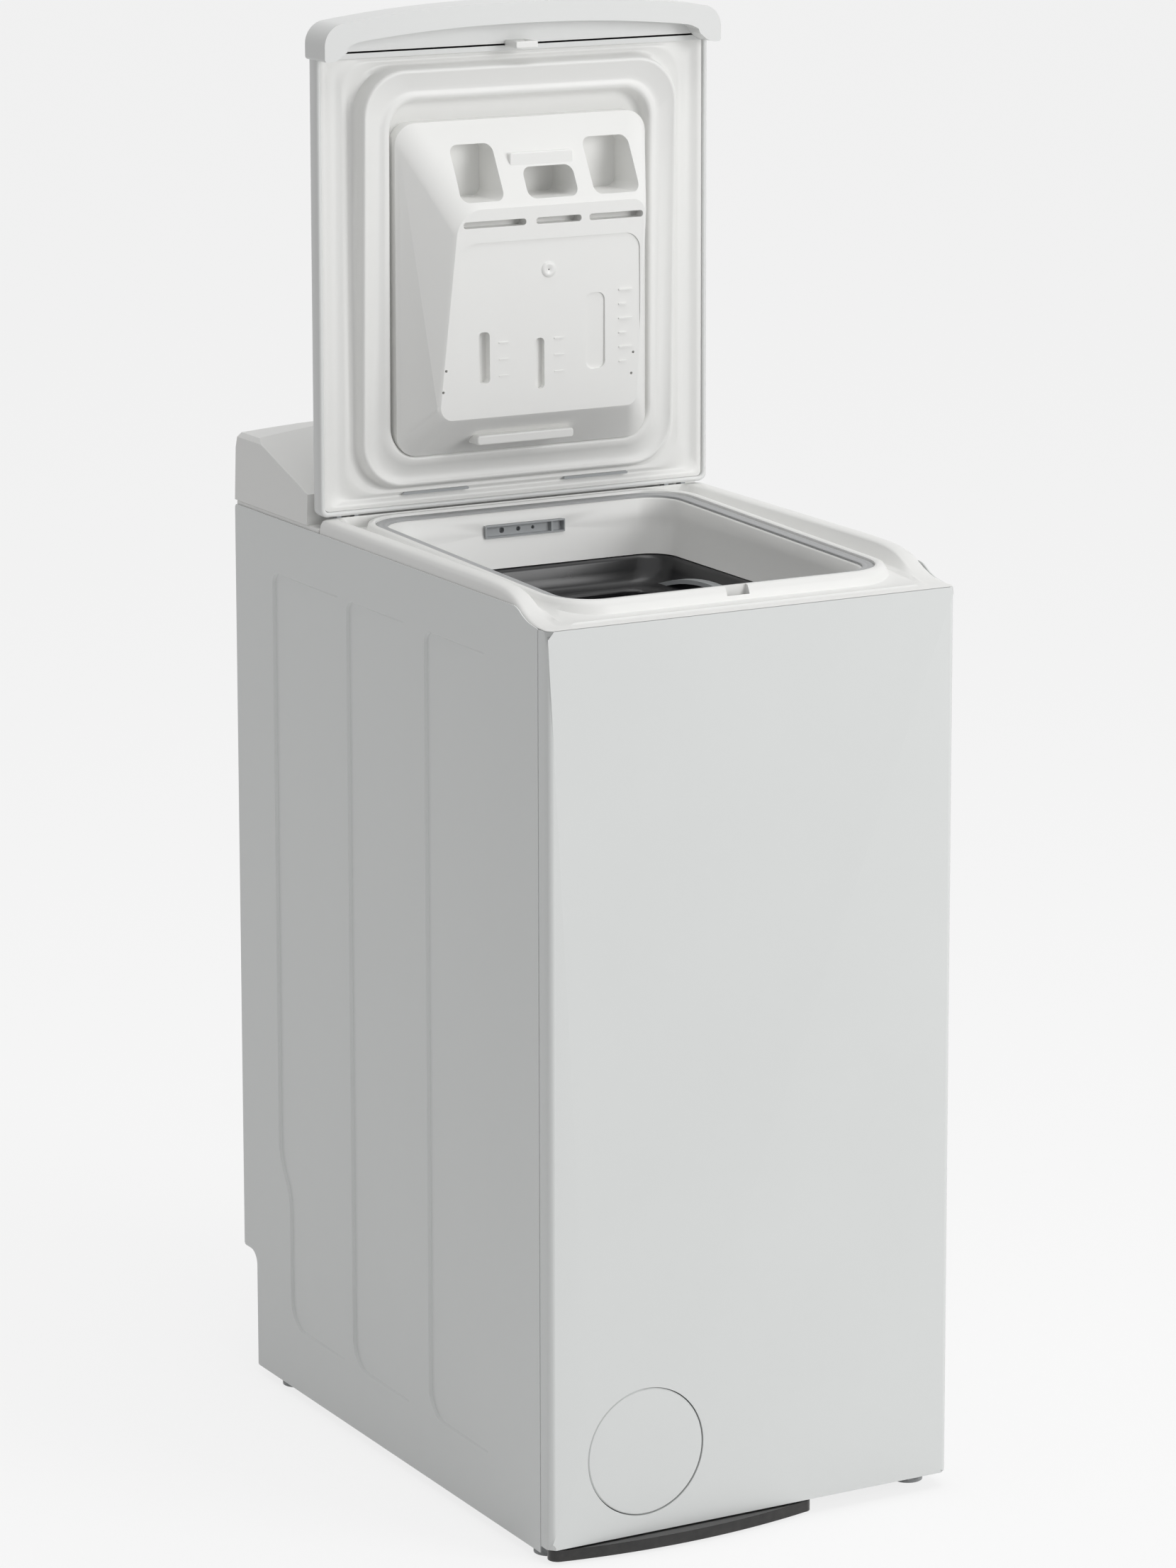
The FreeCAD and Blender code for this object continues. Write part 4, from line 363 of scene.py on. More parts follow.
# %% World
def eye_rays(tree):
    """One where a ray comes from the camera, a mirror or glass; nought where it gathers light."""
    path = add_node(tree, "ShaderNodeLightPath")
    seen = add_node(tree, "ShaderNodeMath", {"operation": "MAXIMUM"})
    either = add_node(tree, "ShaderNodeMath", {"operation": "MAXIMUM"})
    join(tree, path.outputs["Is Camera Ray"], seen.inputs[0])
    join(tree, path.outputs["Is Glossy Ray"], seen.inputs[1])
    join(tree, seen.outputs["Value"], either.inputs[0])
    join(tree, path.outputs["Is Transmission Ray"], either.inputs[1])
    return either.outputs["Value"]


WORLD_LEVEL = 0.37
world = bpy.data.worlds.new("studio")
bpy.context.scene.world = world
world.use_nodes = True
sky = world.node_tree
sky.nodes.clear()
dim = add_node(sky, "ShaderNodeBackground", values={"Color": (1.0, 1.0, 1.0, 1.0), "Strength": WORLD_LEVEL})
white = add_node(sky, "ShaderNodeBackground", values={"Color": (1.0, 1.0, 1.0, 1.0), "Strength": 1.0})
choose = add_node(sky, "ShaderNodeMixShader")
sky_out = add_node(sky, "ShaderNodeOutputWorld")
join(sky, eye_rays(sky), choose.inputs["Fac"])
join(sky, dim.outputs[0], choose.inputs[1])
join(sky, white.outputs[0], choose.inputs[2])
join(sky, choose.outputs[0], sky_out.inputs["Surface"])
bpy.context.scene.view_settings.view_transform = "Standard"

# %% Floor
FLOOR_HALF = 30.0
FLOOR_GLOW = 0.8

plane = bmesh.new()
bmesh.ops.create_grid(plane, x_segments=1, y_segments=1, size=FLOOR_HALF)
floor_mesh = bpy.data.meshes.new("floor")
plane.to_mesh(floor_mesh)
plane.free()
floor = bpy.data.objects.new("floor", floor_mesh)
bpy.context.scene.collection.objects.link(floor)

paper = bpy.data.materials.new("white floor")
paper.use_nodes = True
paper_tree = paper.node_tree
paper_shader = paper_tree.nodes["Principled BSDF"]
paper_shader.inputs["Base Color"].default_value = (0.90, 0.90, 0.90, 1.0)
paper_shader.inputs["Roughness"].default_value = 0.9
glow = add_node(paper_tree, "ShaderNodeEmission", values={"Color": (1.0, 1.0, 1.0, 1.0), "Strength": 1.0})
share = add_node(paper_tree, "ShaderNodeMath", {"operation": "MULTIPLY"}, {1: FLOOR_GLOW})
mixed = add_node(paper_tree, "ShaderNodeMixShader")
join(paper_tree, eye_rays(paper_tree), share.inputs[0])
join(paper_tree, share.outputs["Value"], mixed.inputs["Fac"])
join(paper_tree, paper_shader.outputs["BSDF"], mixed.inputs[1])
join(paper_tree, glow.outputs["Emission"], mixed.inputs[2])
join(paper_tree, mixed.outputs["Shader"], paper_tree.nodes["Material Output"].inputs["Surface"])
dress(floor, paper)

# %% Lamps
MIDDLE = Vector((0.0, 0.0, 0.6))


def soft_lamp(name, place, size, watts):
    """A square soft box that looks at the middle of the machine."""
    data = bpy.data.lights.new(name, "AREA")
    data.shape = "SQUARE"
    data.size = size
    data.energy = watts
    lamp = bpy.data.objects.new(name, data)
    bpy.context.scene.collection.objects.link(lamp)
    lamp.location = place
    lamp.rotation_euler = (MIDDLE - Vector(place)).to_track_quat("-Z", "Y").to_euler()
    return lamp


soft_lamp("key", (2.6, -4.4, 2.2), 2.4, 105.0)
soft_lamp("overhead", (0.3, -0.6, 4.2), 2.6, 45.0)
print("lamps:", len(bpy.data.lights))

# %% [markdown]
# ## From a bmesh to a piece
# Every new piece goes through the same door. Doubles are merged, the normals are turned outwards, the faces are
# shaded smooth with true edges kept sharp, and the piece is told its finish and the body it rides on.
# A small Bevel modifier is offered too, because no real sheet or moulding has a knife edge.

# %% The piece maker
def make_piece(bm, name, body, material, stands_for=(), sharp_deg=35.0, wall=0.0, edge=0.0, steps=2):
    """Turn a finished bmesh into an object that rides on a CAD body, or on none when no body is given."""
    bmesh.ops.remove_doubles(bm, verts=bm.verts[:], dist=0.02 * MM)
    bmesh.ops.recalc_face_normals(bm, faces=bm.faces[:])
    mesh = bpy.data.meshes.new(name)
    bm.to_mesh(mesh)
    bm.free()
    mesh.shade_smooth()
    for polygon in mesh.polygons:
        polygon.use_smooth = len(polygon.vertices) < 9
    mesh.set_sharp_from_angle(angle=math.radians(sharp_deg))
    piece = bpy.data.objects.new(name, mesh)
    bpy.context.scene.collection.objects.link(piece)
    if wall:
        solid = piece.modifiers.new("wall", "SOLIDIFY")
        solid.thickness, solid.offset, solid.use_even_offset = wall, -1.0, True
    if edge:
        rounded = piece.modifiers.new("edge", "BEVEL")
        rounded.width, rounded.segments, rounded.limit_method = edge, steps, "ANGLE"
        rounded.angle_limit, rounded.harden_normals = math.radians(sharp_deg), True
    dress(piece, material)
    if body:
        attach(piece, body)
    if stands_for:
        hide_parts(*stands_for)
    print("%-22s %6d faces on %s" % (name, len(mesh.polygons), body or "two bodies"))
    return piece


def outline(bm, corners, radii, segments=8):
    """A flat face through corners, each rounded by its own radius with the bevel operator."""
    before = set(bm.faces)
    verts = [bmesh.ops.create_vert(bm, co=Vector(c))["vert"][0] for c in corners]
    bm.faces.new(verts)
    for vert, radius in zip(verts, radii):
        if radius:
            bmesh.ops.bevel(bm, geom=[vert], offset=radius, segments=segments, profile=0.5,
                            affect="VERTICES", material=-1)
    return next(face for face in bm.faces if face not in before)


# %% [markdown]
# ## Pressed side panels
# A side is one sheet of steel. Three shallow fields are pressed into it so that a large flat sheet does not
# drum. Each field is a wedge: deepest along its back edge, and running out to nothing at the front. In
# mesh terms that is an outline, an inset of a few millimetres, and the inset loop pushed in by a share of the
# way forward. The sheet round the fields is filled between the outer outline and the three field outlines.

# %% The fields
FIELD_DEEP = 2.4 * MM
FIELD_LIP = 1.7 * MM
FIELD_TOP, FIELD_LOW = SIDE_TOP - 50.0 * MM, 67.0 * MM
FIELD_RUN = 112.0 * MM
FIELD_BACKS = [BACK_Y - 77.0 * MM - 150.0 * MM * k for k in range(3)]
JOG = 22.0 * MM


def field_face(bm, x, back, jog):
    """One field as a flat face on the sheet, with round corners at its back."""
    front = back - FIELD_RUN - jog
    corners = [(x, front, FIELD_TOP), (x, back, FIELD_TOP)]
    radii = [0.0, 12.0 * MM]
    if jog:
        corners += [(x, back, 222.0 * MM), (x, back - jog, 193.0 * MM)]
        radii += [16.0 * MM, 16.0 * MM]
    corners += [(x, back - jog, FIELD_LOW), (x, front, FIELD_LOW)]
    radii += [26.0 * MM, 0.0]
    return outline(bm, corners, radii)


def press_field(bm, face, back, inward):
    """Inset the field and push the inner loop in, less and less towards the front."""
    lip = bmesh.ops.inset_region(bm, faces=[face], thickness=FIELD_LIP, use_even_offset=True,
                                   use_boundary=True)["faces"]
    ring = [e for f in lip for e in f.edges if len(e.link_faces) == 1]
    front = min(v.co.y for v in face.verts)
    for vert in face.verts:
        vert.co.x += inward * FIELD_DEEP * (vert.co.y - front) / (back - front)
    return ring


# %% The panels
NOTCH_Y, NOTCH_Z = BACK_Y - 27.0 * MM, 118.0 * MM
SIDE_FRONT = low("side_panel_right").y
SIDE_LOW = low("side_panel_right").z


def side_outline(bm, x):
    """The edge of the sheet: a plinth recess low at the back, and a step down at the top of the front."""
    corners = [(SIDE_FRONT, SIDE_LOW), (NOTCH_Y, SIDE_LOW), (NOTCH_Y, NOTCH_Z), (BACK_Y, NOTCH_Z),
               (BACK_Y, SIDE_TOP), (-0.246, SIDE_TOP), (-0.262, SIDE_TOP - 0.0095), (SIDE_FRONT, SIDE_TOP - 0.0128)]
    radii = [0.0, 2.0, 13.0, 3.0, 4.0, 6.0, 8.0, 1.0]
    return outline(bm, [(x, y * 1.0, z * 1.0) for y, z in corners], [r * MM for r in radii])


def side_panel(name, x, inward):
    bm = bmesh.new()
    sheet = side_outline(bm, x)
    rim = list(sheet.edges)
    bmesh.ops.delete(bm, geom=[sheet], context="FACES_ONLY")
    loops = list(rim)
    for k, back in enumerate(FIELD_BACKS):
        face = field_face(bm, x, back, JOG if k == 0 else 0.0)
        loops += press_field(bm, face, back, inward)
    bmesh.ops.triangle_fill(bm, use_beauty=True, use_dissolve=False, edges=loops)
    fold = [e for e in rim if all(v.co.y > BACK_Y - 0.1 * MM for v in e.verts)]
    turned = bmesh.ops.extrude_edge_only(bm, edges=fold)["geom"]
    bmesh.ops.translate(bm, vec=(inward * 14.0 * MM, 0.0, 0.0),
                        verts=[g for g in turned if isinstance(g, bmesh.types.BMVert)])
    return make_piece(bm, name, "cabinet", ENAMEL, [name.replace("sheet", "panel")],
                      sharp_deg=20.0, wall=1.0 * MM, edge=0.5 * MM, steps=3)


side_panel("side_sheet_left", -HALF_W, 1.0)
side_panel("side_sheet_right", HALF_W, -1.0)

# %% [markdown]
# ## The front sheet and the filter cover
# The front is one sheet wrapped round both corners and folded back under the worktop. The round opening low
# on the left is closed by a disc that sits flush, with a fine dark line of shadow all round it. The sheet is
# the outline of the flat face with a circle left open, and its side edges pulled back and bevelled.

# %% The front sheet
FRONT_HALF = high("front_panel").x
FRONT_LOW, FRONT_TOP = low("front_panel").z, high("front_panel").z
FRONT_BACK = high("front_panel").y
COVER_AT = (low("filter_cover") + high("filter_cover")) / 2
COVER_R = (high("filter_cover").x - low("filter_cover").x) / 2


def circle_edges(bm, centre, radius, segments=96):
    """A circle that faces the front, as edges only."""
    place = Matrix.Translation(centre) @ Matrix.Rotation(math.pi / 2, 4, "X")
    ring = bmesh.ops.create_circle(bm, cap_ends=False, segments=segments, radius=radius, matrix=place)
    return list({e for v in ring["verts"] for e in v.link_edges})


def pull(bm, edges, vector):
    """Extrude a run of edges along a vector; the new edges come back."""
    made = bmesh.ops.extrude_edge_only(bm, edges=edges)["geom"]
    bmesh.ops.translate(bm, vec=vector, verts=[g for g in made if isinstance(g, bmesh.types.BMVert)])
    return [g for g in made if isinstance(g, bmesh.types.BMEdge)]


bm = bmesh.new()
face = outline(bm, [(-FRONT_HALF, FRONT_Y, FRONT_LOW), (FRONT_HALF, FRONT_Y, FRONT_LOW),
                    (FRONT_HALF, FRONT_Y, FRONT_TOP), (-FRONT_HALF, FRONT_Y, FRONT_TOP)], [0.0] * 4)
rim = list(face.edges)
bmesh.ops.delete(bm, geom=[face], context="FACES_ONLY")
hole = circle_edges(bm, (COVER_AT.x, FRONT_Y, COVER_AT.z), COVER_R + 0.8 * MM)
bmesh.ops.triangle_fill(bm, use_beauty=True, use_dissolve=False, edges=rim + hole)
pull(bm, hole, (0.0, 8.0 * MM, 0.0))
sides = [e for e in rim if abs(e.verts[0].co.x - e.verts[1].co.x) < MM]
top = [e for e in rim if min(v.co.z for v in e.verts) > FRONT_TOP - MM]
pull(bm, sides, (0.0, FRONT_BACK - FRONT_Y, 0.0))
pull(bm, top, (0.0, 14.0 * MM, 0.0))
bmesh.ops.bevel(bm, geom=sides, offset=6.0 * MM, segments=6, profile=0.5, affect="EDGES", material=-1)
make_piece(bm, "front_sheet", "cabinet", ENAMEL, ["front_panel"], wall=1.0 * MM,
           edge=0.7 * MM, steps=3)

# %% The filter cover
bm = bmesh.new()
disc = bmesh.ops.create_circle(bm, cap_ends=True, segments=96, radius=COVER_R,
                               matrix=Matrix.Translation((COVER_AT.x, FRONT_Y + 1.5 * MM, COVER_AT.z))
                               @ Matrix.Rotation(math.pi / 2, 4, "X"))
face = disc["verts"][0].link_faces[0]
for grow, rise in ((1.0 * MM, 1.1 * MM), (6.0 * MM, 0.3 * MM), (26.0 * MM, 0.05 * MM)):
    bmesh.ops.inset_region(bm, faces=[face], thickness=grow, use_boundary=True)
    bmesh.ops.translate(bm, vec=(0.0, -rise, 0.0), verts=face.verts[:])
rim = [e for e in bm.edges if len(e.link_faces) == 1]
pull(bm, rim, (0.0, 5.0 * MM, 0.0))
make_piece(bm, "filter_cover_disc", "cover", ENAMEL, ["filter_cover"], wall=0.8 * MM)

# %% [markdown]
# ## Loops, skins and cuts
# Mouldings such as a lid liner are families of round-cornered outlines, one inside the other, each at its own
# depth. A loop helper makes one outline as edges, and the bridge operator stretches a skin between loops.
# Pockets and slots are easier as cuts: a Boolean modifier is used once, its result is kept and the cutter goes.

# %% Loop, skin and cut helpers
def loop(bm, corners, radii, segments=10):
    """A closed loop of edges through corners, each rounded by its radius."""
    face = outline(bm, corners, radii, segments)
    edges = list(face.edges)
    bmesh.ops.delete(bm, geom=[face], context="FACES_ONLY")
    return edges


def skin(bm, loops, axis=(0.0, 1.0, 0.0)):
    """Bridge loop to loop; each next one is held off along the axis meanwhile, or a flat step would twist."""
    away = Vector(axis)
    for first, second in zip(loops, loops[1:]):
        verts = list({vert for edge in second for vert in edge.verts})
        bmesh.ops.translate(bm, vec=away, verts=verts)
        bmesh.ops.bridge_loops(bm, edges=first + second)
        bmesh.ops.translate(bm, vec=-away, verts=verts)


def standing(bm, x0, x1, z0, z1, y, radius, lean=0.0):
    """A loop that stands upright, in millimetres; lean moves its top towards the front."""
    edges = loop(bm, [(x0 * MM, y * MM, z0 * MM), (x1 * MM, y * MM, z0 * MM), (x1 * MM, y * MM, z1 * MM),
                      (x0 * MM, y * MM, z1 * MM)], [radius * MM] * 4)
    for vert in {v for e in edges for v in e.verts}:
        vert.co.y -= lean * (vert.co.z - z0 * MM) / ((z1 - z0) * MM) * MM
    return edges


def block(bm, x0, x1, z0, z1, y0, y1, radius, lean=0.0):
    """A closed standing block with round corners seen from the front."""
    near, far = standing(bm, x0, x1, z0, z1, y0, radius, lean), standing(bm, x0, x1, z0, z1, y1, radius)
    skin(bm, [near, far])
    bmesh.ops.edgeloop_fill(bm, edges=near)
    bmesh.ops.edgeloop_fill(bm, edges=far)


def as_object(bm, name):
    bmesh.ops.recalc_face_normals(bm, faces=bm.faces[:])
    mesh = bpy.data.meshes.new(name)
    bm.to_mesh(mesh)
    bm.free()
    made = bpy.data.objects.new(name, mesh)
    bpy.context.scene.collection.objects.link(made)
    return made


def cut(bm, cutter, operation="DIFFERENCE"):
    """The first bmesh with the second taken out of it, or joined to it."""
    body, tool = as_object(bm, "body"), as_object(cutter, "tool")
    modifier = body.modifiers.new("cut", "BOOLEAN")
    modifier.object, modifier.operation, modifier.solver = tool, operation, "EXACT"
    result = bmesh.new()
    baked = bpy.data.meshes.new_from_object(body.evaluated_get(bpy.context.evaluated_depsgraph_get()))
    result.from_mesh(baked)
    for thing in (body, tool):
        data = thing.data
        bpy.data.objects.remove(thing)
        bpy.data.meshes.remove(data)
    bpy.data.meshes.remove(baked)
    bmesh.ops.dissolve_limit(result, angle_limit=math.radians(0.5), verts=result.verts[:], edges=result.edges[:])
    return result


# %% [markdown]
# ## The lid
# The open lid is three mouldings. The outer skin is a shallow tray with a rolled rim. A thick cap closes its
# front edge, which is the top now, and bows outwards in the middle; that is where the fingers go. The liner
# faces us. Its bead drops into the mouth of the well when the lid shuts, and inside the bead a terrace
# leads to the pocket that holds the detergent box.

# %% Outer skin of the lid
LID_X, LID_LOW, LID_HIGH = high("lid_outer").x / MM, low("lid_outer").z / MM, high("lid_outer").z / MM
LID_FRONT, LID_BACK = low("lid_outer").y / MM, high("lid_outer").y / MM


def lid_loop(bm, inset, y, radius):
    return standing(bm, -LID_X + inset, LID_X - inset, LID_LOW + inset, LID_HIGH - inset, y, radius)


bm = bmesh.new()
loops = [lid_loop(bm, i, y, r) for i, y, r in (
    (7.0, LID_BACK, 4.0), (3.0, LID_BACK - 0.4, 5.0), (0.8, LID_BACK - 2.4, 6.0), (0.0, LID_BACK - 5.5, 7.0),
    (0.0, LID_FRONT + 2.2, 7.0), (0.6, LID_FRONT + 0.6, 6.5), (1.8, LID_FRONT, 6.0), (3.4, LID_FRONT, 5.0),
    (4.2, LID_FRONT + 0.8, 4.5), (4.4, LID_BACK - 3.0, 4.5))]
skin(bm, loops)
bmesh.ops.edgeloop_fill(bm, edges=loops[0])
bmesh.ops.edgeloop_fill(bm, edges=loops[-1])
make_piece(bm, "lid_skin", "lid", LID_PLASTIC, ["lid_outer"], sharp_deg=50.0)

# %% Front cap of the lid
CAP_X = high("lid_cap").x / MM
CAP_LOW, CAP_HIGH = low("lid_cap").z / MM, high("lid_cap").z / MM
CAP_FRONT, CAP_BACK = low("lid_cap").y / MM, high("lid_cap").y / MM
BOW = 14.0


def cap_face(bm, corners, radii, y):
    """A standing face whose long edges are cut into short ones and lifted into a gentle arc."""
    edges = loop(bm, [(x * MM, y * MM, z * MM) for x, z in corners], [r * MM for r in radii])
    long_edges = [e for e in edges if e.calc_length() > 100.0 * MM and e.verts[0].co.z > (CAP_LOW + 5.0) * MM]
    bmesh.ops.subdivide_edges(bm, edges=long_edges, cuts=24)
    for vert in bm.verts:
        if vert.co.z > (CAP_LOW + 8.0) * MM:
            vert.co.z += BOW * MM * max(0.0, 1.0 - (abs(vert.co.x) / (CAP_X * MM)) ** 2.2)
    return bmesh.ops.edgeloop_fill(bm, edges=bm.edges[:])["faces"][0]


def thicken(bm, face, depth):
    """Extrude one face straight back into a closed block."""
    made = bmesh.ops.extrude_face_region(bm, geom=[face])["geom"]
    bmesh.ops.translate(bm, vec=(0.0, depth * MM, 0.0), verts=[g for g in made if isinstance(g, bmesh.types.BMVert)])


TOP_Z = CAP_HIGH - BOW
bm = bmesh.new()
front = cap_face(bm, [(-CAP_X, CAP_LOW), (-CAP_X + 12, CAP_LOW), (-CAP_X + 26, TOP_Z - 19), (CAP_X - 26, TOP_Z - 19),
                      (CAP_X - 12, CAP_LOW), (CAP_X, CAP_LOW), (CAP_X, TOP_Z), (-CAP_X, TOP_Z)],
                 [3, 6, 9, 9, 6, 3, 17, 17], CAP_FRONT)
thicken(bm, front, LID_FRONT - CAP_FRONT + 0.5)
rear = bmesh.new()
back = cap_face(rear, [(-CAP_X, CAP_LOW), (CAP_X, CAP_LOW), (CAP_X, TOP_Z), (-CAP_X, TOP_Z)], [3, 3, 17, 17], LID_FRONT)
thicken(rear, back, CAP_BACK - LID_FRONT)
bm = cut(bm, rear, "UNION")
make_piece(bm, "lid_front_cap", "lid", LID_PLASTIC, ["lid_cap"], sharp_deg=35.0, edge=2.4 * MM,
           steps=4)

# %% Liner of the lid
BEAD_X, BEAD_LOW, BEAD_HIGH = 158.0, 862.0, 1235.0
LEAN = 8.5


def liner_loop(bm, inset, y, radius, lean=0.0):
    return standing(bm, -BEAD_X + inset, BEAD_X - inset, BEAD_LOW + inset, BEAD_HIGH - inset, y, radius, lean)


bm = bmesh.new()
rim = [standing(bm, -LID_X + 4.6, LID_X - 4.6, LID_LOW + 4.6, LID_HIGH - 4.0, y, 5.0) for y in (138.0, 127.6)]
flat = [standing(bm, -x, x, z0, z1, y, r) for x, z0, z1, y, r in (
    (191.5, 846.5, 1249.0, 127.0, 6.0), (187.5, 849.0, 1247.5, 127.8, 9.0), (185.0, 850.5, 1246.5, 129.8, 12.0),
    (176.0, 853.0, 1245.0, 130.4, 20.0), (173.0, 854.0, 1244.0, 129.0, 24.0), (168.5, 856.0, 1242.0, 128.8, 30.0),
    (165.5, 857.5, 1240.0, 130.4, 36.0))]
bead = [liner_loop(bm, i, y, r, lean) for i, y, r, lean in (
    (-3.6, 130.2, 43.0, 1.0), (-2.0, 127.6, 42.0, 4.0), (-1.0, 122.0, 41.0, 7.8), (0.0, 120.0, 40.0, LEAN),
    (1.4, 119.5, 39.4, LEAN), (3.0, 120.0, 38.6, LEAN), (4.4, 121.0, 38.0, LEAN), (15.0, 120.2, 33.0, 6.0))]
terrace = [liner_loop(bm, i, y, r, 2.5) for i, y, r in (
    (18.0, 118.4, 31.6), (20.0, 117.4, 31.0), (23.5, 117.0, 29.5), (25.2, 117.4, 28.5), (26.6, 119.0, 27.5),
    (28.0, 124.0, 26.5), (30.0, 130.0, 25.0), (36.0, 131.4, 22.0))]
skin(bm, rim + flat + bead + terrace)
bmesh.ops.edgeloop_fill(bm, edges=terrace[-1])
bmesh.ops.edgeloop_fill(bm, edges=rim[0])
make_piece(bm, "lid_liner", "lid", LINER_PLASTIC, ["lid_inner"], sharp_deg=60.0)

# %% Striker and hinge slots of the liner
bm = bmesh.new()
block(bm, -11, 11, 1250.5, 1256.5, 103.0, 126.5, 1.5)
hook = bmesh.new()
block(hook, -5.0, 5.0, 1249.0, 1258.0, 108.0, 116.0, 1.0)
bm = cut(bm, hook)
make_piece(bm, "lid_striker", "lid", LINER_PLASTIC, edge=0.8 * MM)
for side in (-1, 1):
    bm = bmesh.new()
    centre = side * 82.0
    block(bm, centre - 33.0, centre + 33.0, 852.6, 855.0, 126.0, 131.0, 1.0)
    make_piece(bm, "hinge_slot_%s" % ("left" if side < 0 else "right"), "lid", GREY_PLASTIC)

# %% [markdown]
# ## The detergent box
# The box is pushed into the liner and lifts out for washing. Seen from the front it is a shallow frustum: a
# face set forward, with long slopes at the left and at the bottom and a steep one at the right. Its top is
# cut at a slant, with three pockets between two ribs. Five loops make the body, and cutters do the rest.

# %% Body of the box
bm = bmesh.new()
behind = standing(bm, -127, 127, 889, 1188, 130.2, 20)
brim = standing(bm, -127, 127, 889, 1188, 115.0, 20)
brow = standing(bm, -124, 125, 893, 1184, 112.0, 19)
shoulder = loop(bm, [(x * MM, 74.5 * MM, z * MM) for x, z in ((-109, 923), (97, 923), (106, 1116), (-88, 1116))],
                [16 * MM, 12 * MM, 14 * MM, 24 * MM])
face_loop = loop(bm, [(x * MM, 72.4 * MM, z * MM) for x, z in ((-106, 926), (94, 926), (103, 1113), (-85, 1113))],
                 [14 * MM, 10 * MM, 12 * MM, 22 * MM])
skin(bm, [behind, brim, brow, shoulder, face_loop])
bmesh.ops.edgeloop_fill(bm, edges=behind)
bmesh.ops.edgeloop_fill(bm, edges=face_loop)

# %% Pockets, slots and marks
POCKETS = [(-80, -37, 1119, 1168), (-13, 38, 1119, 1146), (54, 101, 1119, 1168)]
SLOTS = [(-81, -18), (-8, 38), (46, 101)]
LEVELS = [(-66, -55, 957, 1003, 9.0), (-9, 0, 948, 994, 6.0)]
tool = bmesh.new()
for x0, x1, z0, z1 in POCKETS:
    block(tool, x0, x1, z0, z1, 60.0, 126.0, 8.0)
for x0, x1 in SLOTS:
    block(tool, x0, x1, 1096.5, 1102.5, 60.0, 86.0, 2.8)
for x0, x1, z0, z1, deep in LEVELS:
    block(tool, x0, x1, z0, z1, 60.0, 72.4 + deep, 3.9)
block(tool, 42, 62, 962, 1031, 60.0, 74.6, 7.0)
for x, z in ((-99, 971), (-102, 952), (91, 974), (89, 955), (5, 1055)):
    block(tool, x - 1.2, x + 1.2, z - 1.2, z + 1.2, 60.0, 78.0, 1.0)
bm = cut(bm, tool)
tool = bmesh.new()
block(tool, -84, 98, 905, 1083, 60.0, 73.8, 15.0)
for vert in tool.verts:
    if vert.co.y > 70.0 * MM:
        vert.co.y -= 1.6 * MM * (1083.0 * MM - vert.co.z) / (178.0 * MM)
bm = cut(bm, tool)
marks = bmesh.new()
for k in range(6):
    block(marks, 76, 90 if k % 2 else 84, 966 + 13 * k, 967.4 + 13 * k, 72.0, 74.4, 0.6)
for x in (-46, 10):
    for k in range(3):
        block(marks, x, x + 10, 962 + 15 * k, 963.2 + 15 * k, 72.3, 74.4, 0.5)
bm = cut(bm, marks, "UNION")
make_piece(bm, "detergent_box", "lid", BOX_PLASTIC, ["dispenser"], sharp_deg=28.0, edge=1.1 * MM,
           steps=3)

# %% Bar, finger tab and boss
bm = bmesh.new()
block(bm, -24, 40, 1147, 1159, 92.0, 101.0, 2.5)
make_piece(bm, "box_bar", "lid", BOX_PLASTIC, edge=1.2 * MM, steps=3)
bm = bmesh.new()
block(bm, -62, 36, 899, 908, 84.0, 108.0, 3.0)
make_piece(bm, "box_finger_tab", "lid", BOX_PLASTIC, edge=1.6 * MM, steps=3)
bm = bmesh.new()
boss = bmesh.ops.create_circle(bm, cap_ends=False, segments=40, radius=7.5 * MM,
                               matrix=Matrix.Translation((5 * MM, 73.6 * MM, 1055 * MM)) @ Matrix.Rotation(math.pi / 2, 4, "X"))
ring = [e for e in bm.edges]
for shrink, rise in ((0.86, -1.2), (0.62, 0.0), (0.5, 0.5), (0.30, 0.4)):
    made = bmesh.ops.extrude_edge_only(bm, edges=ring)["geom"]
    verts = [g for g in made if isinstance(g, bmesh.types.BMVert)]
    bmesh.ops.translate(bm, vec=(0.0, rise * MM, 0.0), verts=verts)
    bmesh.ops.scale(bm, vec=(shrink, 1.0, shrink), verts=verts,
                    space=Matrix.Translation((-5 * MM, 0.0, -1055 * MM)))
    ring = [g for g in made if isinstance(g, bmesh.types.BMEdge)]
make_piece(bm, "box_screw_boss", "lid", BOX_PLASTIC, sharp_deg=60.0)

# %% [markdown]
# ## The worktop and its well
# The top is one large moulding. Rails run along both sides and dive in an S at the front, where the lid's cap
# comes down. A ring rises gently from front to back round the mouth, and inside it a ledge carries the grey
# seal. Then the walls fall to the drum. All of it is one family of outlines seen from above. What changes
# from loop to loop is a size, a corner radius and a height that depends on how far back a point lies.

# %% Heights along the machine
BASE = (low("worktop").z + 32.3 * MM) / MM
S_CURVE = [(-300.0, 812.7), (-280.0, 813.6), (-266.0, 816.2), (-254.0, 821.0), (-243.0, 827.0), (-232.0, 831.8),
           (-218.0, 835.0), (-200.0, 836.5), (-170.0, 837.0), (140.0, 837.0)]
FLOOR_LINE = [(-300.0, 812.7), (-278.0, 813.8), (-262.0, 816.5), (-248.0, 819.0), (140.0, 827.0)]
WELL = dict(x=160.0, front=-262.0, back=126.0)


def along(line, y):
    """Height of a broken line at y, straight between its points."""
    for (y0, z0), (y1, z1) in zip(line, line[1:]):
        if y <= y1:
            return z0 + (z1 - z0) * max(0.0, (y - y0) / (y1 - y0))
    return line[-1][1]


def ring_height(y):
    return 827.0 + 9.0 * (y - WELL["front"]) / (WELL["back"] - WELL["front"])


